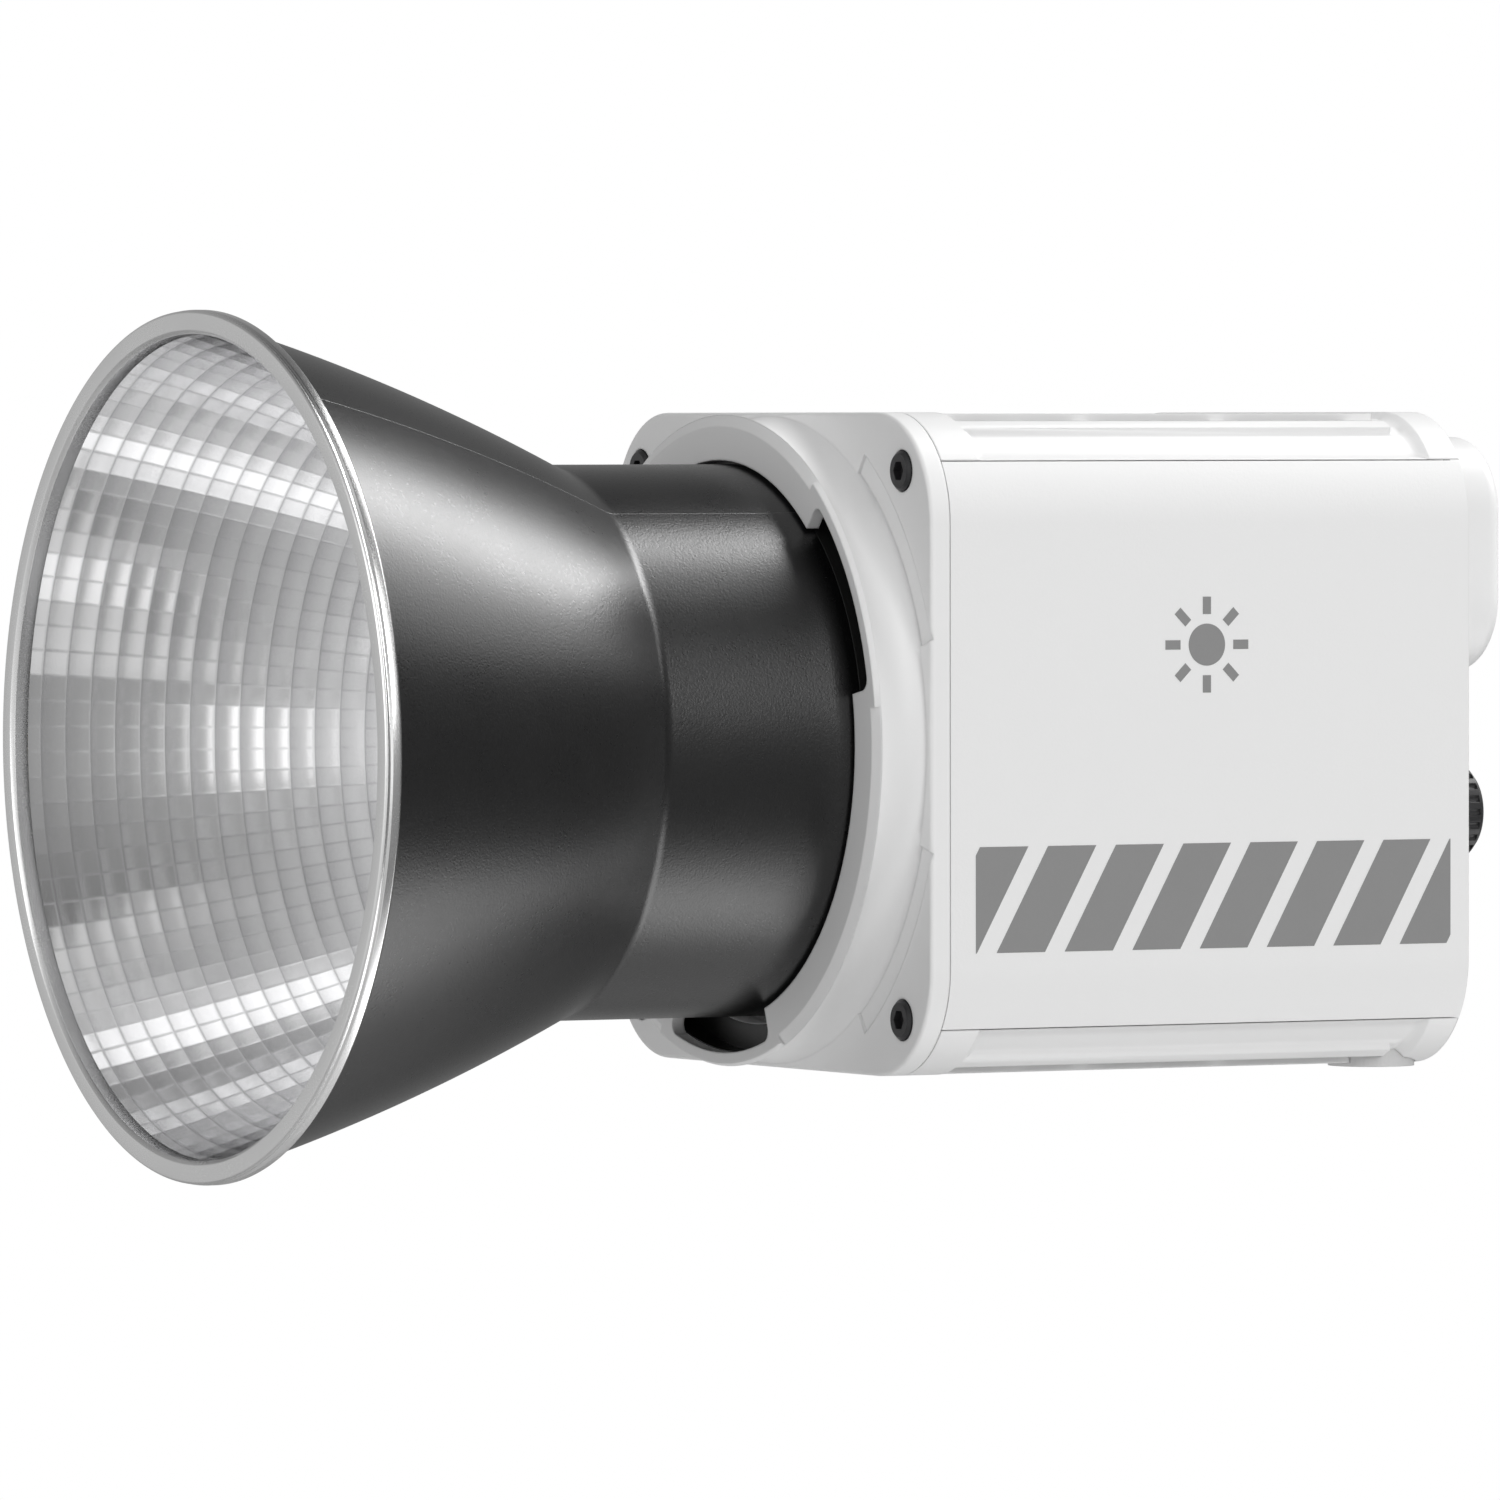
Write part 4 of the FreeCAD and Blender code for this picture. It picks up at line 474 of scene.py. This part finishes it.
# ---------------------------------------------------------------- modelling helpers
def add_piece(name, mesh, body, finish, smooth=30):
    """Turns a bmesh into a piece that rides on a body."""
    data = bpy.data.meshes.new(name)
    mesh.to_mesh(data)
    mesh.free()
    data.shade_smooth()
    if smooth is not None:
        data.set_sharp_from_angle(angle=math.radians(smooth))
    data.materials.append(FINISHES[finish])
    piece = bpy.data.objects.new(name, data)
    bpy.context.scene.collection.objects.link(piece)
    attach(piece, body)
    return piece


def lathe(outline, steps=ROUND, centre=(0, AXIS)):
    """A closed ring: an outline of (place along Y, radius) pairs turned about an axis along Y."""
    mesh = bmesh.new()
    across, up = centre
    corners = [mesh.verts.new((across, along, up + radius)) for along, radius in outline]
    for first, second in zip(corners, corners[1:] + corners[:1]):
        mesh.edges.new((first, second))
    bmesh.ops.spin(mesh, geom=mesh.verts[:] + mesh.edges[:], cent=(across, 0, up), axis=(0, 1, 0),
                   angle=2 * math.pi, steps=steps, use_merge=True)
    bmesh.ops.remove_doubles(mesh, verts=mesh.verts, dist=NO_LENGTH)
    bmesh.ops.recalc_face_normals(mesh, faces=mesh.faces)
    return mesh


def bowed(start, end, radius, count):
    """Points from start towards end on an arc that bulges away from the axis."""
    first, last = Vector(start), Vector(end)
    chord = last - first
    outward = Vector((-chord.y, chord.x)).normalized()
    if outward.y < 0:
        outward = -outward
    drop = math.sqrt(radius ** 2 - (chord.length / 2) ** 2)
    middle = (first + last) / 2 - outward * drop
    points = []
    for index in range(count):
        flat = first + chord * (index / count)
        points.append(tuple(middle + (flat - middle).normalized() * radius))
    return points


def rounded_corner(before, corner, after, size, count=4):
    """Points of a rounded corner of an outline."""
    before, corner, after = Vector(before), Vector(corner), Vector(after)
    start = corner + (before - corner).normalized() * size
    end = corner + (after - corner).normalized() * size
    points = []
    for index in range(count + 1):
        share = index / count
        point = start * (1 - share) ** 2 + corner * 2 * share * (1 - share) + end * share ** 2
        points.append(tuple(point))
    return points


def softened(outline, size, count=4):
    """An outline with all its corners rounded."""
    points = []
    for index, corner in enumerate(outline):
        following = outline[(index + 1) % len(outline)]
        points += rounded_corner(outline[index - 1], corner, following, size, count)
    return points


def merged_copy(node):
    """A CAD node's shape with its triangles joined, so that its round faces shade smoothly."""
    mesh = bmesh.new()
    mesh.from_mesh(nodes[node].data)
    bmesh.ops.remove_doubles(mesh, verts=mesh.verts, dist=SAME_PLACE)
    bmesh.ops.dissolve_degenerate(mesh, edges=mesh.edges, dist=NO_LENGTH)
    bmesh.ops.dissolve_limit(mesh, angle_limit=math.radians(FLAT_DEGREES), verts=mesh.verts,
                             edges=mesh.edges)
    slot = slot_of[node]
    finish = "panel_white" if node in TEXTURED else slot
    piece = add_piece(f"{node}_finished", mesh, node_body[node], finish, SMOOTH_DEGREES)
    weighting = piece.modifiers.new("weighting", "WEIGHTED_NORMAL")
    weighting.keep_sharp = True
    weighting.weight = 90
    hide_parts(node)


# ---------------------------------------------------------------- reflector
def reflector_skin():
    """The black outside of the reflector, with the soft crease where the neck opens into the cone."""
    mouth = (RIM_BACK, MOUTH_RADIUS)
    crease = (NECK_BREAK, NECK_RADIUS)
    cone = bowed(crease, mouth, CONE_BOW, 28)
    outside = [(NECK_END, NECK_RADIUS)]
    outside += rounded_corner((NECK_END, NECK_RADIUS), crease, cone[2], CREASE_ROUNDING, 6)
    outside += cone[2:] + [mouth]
    inside = [(along, radius - SHELL_WALL) for along, radius in reversed(outside)]
    skin = lathe(outside + inside)
    piece = add_piece("reflector_skin", skin, "reflector", "shell_black")
    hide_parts("reflector_shell")


def facet_rows():
    """The inside profile from rim to neck, cut into equal facets and each facet into a few steps."""
    inner_mouth = (RIM_BACK - LINER_BEHIND_RIM, MOUTH_RADIUS - LINER_INSET + LINER_MOUTH_EXTRA)
    inner_break = (NECK_BREAK, NECK_RADIUS - LINER_INSET)
    count = round((inner_break[0] - inner_mouth[0]) / FACET_LENGTH)
    return bowed(inner_mouth, inner_break, CONE_BOW, count * FACET_CUTS) + [inner_break]


def dimpled_liner():
    """The bright inside: rows of small facets pressed in a little, less around than along the cone."""
    profile = facet_rows()
    turns = FACETS_AROUND * FACET_CUTS
    corner_angle = 2 * math.pi / FACETS_AROUND
    mesh = bmesh.new()
    rings = []
    for row, (along, radius) in enumerate(profile):
        lengthwise = (row % FACET_CUTS) / FACET_CUTS * 2 - 1
        ring = []
        for step in range(turns):
            facet, part = divmod(step, FACET_CUTS)
            share = part / FACET_CUTS
            crown = 1 - (share * 2 - 1) ** 2
            dip = FACET_DIP * (1 - lengthwise ** 2) + FACET_DIP_AROUND * crown
            chord = math.cos(corner_angle / 2) / math.cos((share - 0.5) * corner_angle)
            angle = (facet + share) * corner_angle + math.pi / 2
            reach = radius * chord + dip
            ring.append(mesh.verts.new((math.cos(angle) * reach, along, AXIS + math.sin(angle) * reach)))
        rings.append(ring)
    places = mesh.loops.layers.uv.new("facets")
    for row, (ring, following) in enumerate(zip(rings, rings[1:])):
        for step in range(turns):
            beside = (step + 1) % turns
            face = mesh.faces.new((ring[step], ring[beside], following[beside], following[step]))
            for loop, (right, down) in zip(face.loops, ((0, 0), (1, 0), (1, 1), (0, 1))):
                loop[places].uv = ((step + right) / FACET_CUTS, (row + down) / FACET_CUTS)
    mesh.edges.ensure_lookup_table()
    for row, ring in enumerate(rings):
        for step in range(turns):
            beside = (step + 1) % turns
            if row % FACET_CUTS == 0:
                mesh.edges.get((ring[step], ring[beside])).smooth = False
            if step % FACET_CUTS == 0 and row + 1 < len(rings):
                mesh.edges.get((ring[step], rings[row + 1][step])).smooth = False
    mesh.faces.ensure_lookup_table()
    sample = mesh.faces[0]
    mesh.normal_update()
    inward = Vector((0, sample.calc_center_median().y, AXIS)) - sample.calc_center_median()
    if sample.normal.dot(inward) < 0:
        bmesh.ops.reverse_faces(mesh, faces=mesh.faces)
    piece = add_piece("dimpled_liner", mesh, "reflector", "bright_silver", None)
    wall = piece.modifiers.new("wall", "SOLIDIFY")
    wall.thickness = LINER_SHEET
    wall.offset = -1
    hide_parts("reflector_liner")


def rim_bead():
    """The rolled silver rim: a flat face, a fine groove and a round bead behind it."""
    outline = [(RIM_FRONT + behind * MM, RIM_RADIUS - inside * MM) for behind, inside in RIM_PROFILE]
    bead = lathe(softened(outline, RIM_CORNER, 3), RIM_ROUND)
    piece = add_piece("rim_bead", bead, "reflector", "rim_silver", 50)
    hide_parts("rim_ring")


# ---------------------------------------------------------------- collar
def collar_groove_shade_sheet():
    """A thin black sheet in the groove behind the lip: painted shade, seen through the entry slots."""
    inner, step = GROOVE_RADIUS - GROOVE_SHADE_SHEET, GROOVE_BACK - GROOVE_SHADE_SHEET
    outline = [(GROOVE_FRONT, inner), (GROOVE_FRONT, GROOVE_RADIUS), (GROOVE_BACK, GROOVE_RADIUS),
               (GROOVE_BACK, GROOVE_LEDGE_RADIUS), (step, GROOVE_LEDGE_RADIUS), (step, inner)]
    add_piece("collar_groove_shade_sheet", lathe(outline, 160), node_body["front_plate"], "ring_black")


# ---------------------------------------------------------------- printed marks
def lay_on_side(mesh):
    """Gives flat marks on the side panel a little thickness."""
    grown = bmesh.ops.extrude_face_region(mesh, geom=mesh.faces[:])
    lifted = [item for item in grown["geom"] if isinstance(item, bmesh.types.BMVert)]
    bmesh.ops.translate(mesh, verts=lifted, vec=(INK_PROUD, 0, 0))
    bmesh.ops.recalc_face_normals(mesh, faces=mesh.faces)


def side_stripes():
    """Slanted grey stripes along the bottom of the side panel, cut square at both ends."""
    mesh = bmesh.new()
    for order in range(STRIPE_COUNT):
        left = STRIPE_FIRST + order * STRIPE_PITCH
        right = left + STRIPE_WIDTH
        points = [(left, STRIPES_TOP), (right, STRIPES_TOP),
                  (right - STRIPE_SLANT, STRIPES_BOTTOM), (left - STRIPE_SLANT, STRIPES_BOTTOM)]
        mesh.faces.new([mesh.verts.new((SIDE, along, up)) for along, up in points])
    for place, outward in ((STRIPES_START, -1), (STRIPES_END, 1)):
        bmesh.ops.bisect_plane(mesh, geom=mesh.verts[:] + mesh.edges[:] + mesh.faces[:],
                               plane_co=(0, place, 0), plane_no=(0, outward, 0), clear_outer=True)
    lay_on_side(mesh)
    add_piece("side_stripes", mesh, "head", "print_grey", 20)


def sun_mark():
    """A plain sun, the usual sign for brightness: a disc and eight rays."""
    mesh = bmesh.new()
    face_out = Matrix.Rotation(math.radians(90), 4, "Y")
    home = Matrix.Translation((SIDE, SUN_ALONG, SUN_UP))
    bmesh.ops.create_circle(mesh, cap_ends=True, segments=48, radius=SUN_DISC, matrix=home @ face_out)
    outline = [(RAY_START, -RAY_HALF_WIDTH), (RAY_END, -RAY_HALF_WIDTH),
               (RAY_END, RAY_HALF_WIDTH), (RAY_START, RAY_HALF_WIDTH)]
    for order in range(SUN_RAYS):
        turn = Matrix.Rotation(order * 2 * math.pi / SUN_RAYS, 4, "X")
        points = [home @ turn @ Vector((0, out, aside)) for out, aside in outline]
        mesh.faces.new([mesh.verts.new(point) for point in points])
    lay_on_side(mesh)
    add_piece("sun_mark", mesh, "head", "print_grey", 20)


def rear_ticks():
    """Printed scale marks round both knobs, every fifth one longer."""
    mesh = bmesh.new()
    for knob in ("brightness_knob", "colour_knob"):
        low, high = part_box(knob)
        across, up = (low.x + high.x) / 2, (low.z + high.z) / 2
        for order in range(TICK_COUNT):
            angle = math.radians(TICK_FIRST + TICK_STEP * order)
            length = TICK_SHORT if order % 5 else TICK_LONG
            turn = Matrix.Translation((across, REAR, up)) @ Matrix.Rotation(angle, 4, "Y")
            home = turn @ Matrix.Translation((0, 0.01 * MM, TICK_RADIUS + length / 2))
            home = home @ Matrix.Diagonal((TICK_WIDTH, 0.03 * MM, length, 1))
            bmesh.ops.create_cube(mesh, size=1, matrix=home)
    add_piece("rear_scale_marks", mesh, "head", "print_black", 20)


def rocker_marks():
    """The bar and ring of an ordinary power switch, on the two halves of the rocker."""
    low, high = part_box("power_rocker")
    pivot = Vector(((low.x + high.x) / 2, ROCKER_PIVOT, (low.z + high.z) / 2))
    place = Matrix.Translation(pivot) @ Matrix.Rotation(math.radians(ROCKER_TILT), 4, "Z")
    spots = []
    for side in (1, -1):
        shift = Matrix.Translation((side * ROCKER_MARK_ACROSS, ROCKER_MARK_OUT, 0))
        spots.append(place @ shift @ Matrix.Rotation(side * ROCKER_LEAN, 4, "Z"))
    bar = bmesh.new()
    bmesh.ops.create_cube(bar, size=1, matrix=spots[0] @ Matrix.Diagonal((*ROCKER_BAR, 1)))
    ring = lathe([(along * MM, radius * MM) for along, radius in ROCKER_RING], 40, (0, 0))
    bmesh.ops.transform(ring, matrix=spots[1], verts=ring.verts)
    for name, mesh in (("rocker_bar", bar), ("rocker_ring", ring)):
        add_piece(name, mesh, "rocker", "funnel_white", 20)


# ---------------------------------------------------------------- studio
def soft_box(name, place, aim, width, height, power):
    """A rectangular soft light that looks at a point."""
    data = bpy.data.lights.new(name, "AREA")
    data.shape = "RECTANGLE"
    data.size, data.size_y, data.energy = width, height, power
    light = bpy.data.objects.new(name, data)
    light.location = place
    light.rotation_euler = (aim - place).to_track_quat("-Z", "Y").to_euler()
    light.visible_camera = False
    bpy.context.scene.collection.objects.link(light)


def room():
    """A white room that lights the object most from the front."""
    world = bpy.data.worlds.new("studio")
    bpy.context.scene.world = world
    world.use_nodes = True
    tree = world.node_tree
    tree.nodes.clear()
    output = tree.nodes.new("ShaderNodeOutputWorld")
    seen = tree.nodes.new("ShaderNodeBackground")
    lighting = tree.nodes.new("ShaderNodeBackground")
    for shade in (seen, lighting):
        shade.inputs["Color"].default_value = (1, 1, 1, 1)
    seen.inputs["Strength"].default_value = 1.0
    ways = tree.nodes.new("ShaderNodeSeparateXYZ")
    tree.links.new(tree.nodes.new("ShaderNodeTexCoord").outputs["Generated"], ways.inputs[0])
    glow = 0
    for axis, sign, strength in WALL_LIGHT:
        facing = Wire(tree, ways.outputs[axis]) * sign
        glow = glow + facing.maths("MAXIMUM", facing, 0) ** 2 * strength
    tree.links.new(glow.socket, lighting.inputs["Strength"])
    path = tree.nodes.new("ShaderNodeLightPath")
    mix = tree.nodes.new("ShaderNodeMixShader")
    tree.links.new(path.outputs["Is Camera Ray"], mix.inputs[0])
    tree.links.new(lighting.outputs[0], mix.inputs[1])
    tree.links.new(seen.outputs[0], mix.inputs[2])
    tree.links.new(mix.outputs[0], output.inputs["Surface"])


def pale_floor():
    """A plain pale floor, well below the object."""
    mesh = bmesh.new()
    bmesh.ops.create_circle(mesh, cap_ends=True, segments=96, radius=FLOOR_RADIUS,
                            matrix=Matrix.Translation((0, 0, FLOOR_HEIGHT)))
    data = bpy.data.meshes.new("floor")
    mesh.to_mesh(data)
    mesh.free()
    finish = Finish("pale_floor")
    finish.set(Base_Color=(0.86, 0.86, 0.86), Roughness=0.8)
    data.materials.append(finish.material)
    floor = bpy.data.objects.new("floor", data)
    bpy.context.scene.collection.objects.link(floor)


def lights():
    """Large soft boxes round the middle of the object."""
    for name, way, distance, width, height, power in LIGHTS:
        soft_box(name, HEART + Vector(way).normalized() * distance, HEART, width, height, power)


def camera():
    """A long lens at the viewing angle: 61.6 degrees round from the front, just above level."""
    sine, cosine = math.sin(CAMERA_AZIMUTH), math.cos(CAMERA_AZIMUTH)
    level, rise = math.cos(CAMERA_ELEVATION), math.sin(CAMERA_ELEVATION)
    right = Vector((cosine, sine, 0))
    back = Vector((sine * level, -cosine * level, rise))
    turn = Matrix((right, back.cross(right), back)).transposed() @ Matrix.Rotation(CAMERA_ROLL, 3, "Z")
    data = bpy.data.cameras.new("camera")
    data.lens, data.sensor_width = LENS, SENSOR
    data.clip_start, data.clip_end = 0.05, 50
    eye = bpy.data.objects.new("camera", data)
    eye.matrix_world = Matrix.Translation(CAMERA_AIM + back * CAMERA_DISTANCE) @ turn.to_4x4()
    bpy.context.scene.collection.objects.link(eye)
    bpy.context.scene.camera = eye


# ---------------------------------------------------------------- the scene
bpy.context.scene.view_settings.view_transform = "Standard"
for node, thing in nodes.items():
    thing.data.materials.clear()
    thing.data.materials.append(FINISHES[slot_of[node]])
for node in sorted(set(nodes) - REMADE):
    merged_copy(node)
reflector_skin()
dimpled_liner()
rim_bead()
collar_groove_shade_sheet()
side_stripes()
sun_mark()
rear_ticks()
rocker_marks()
room()
pale_floor()
lights()
camera()
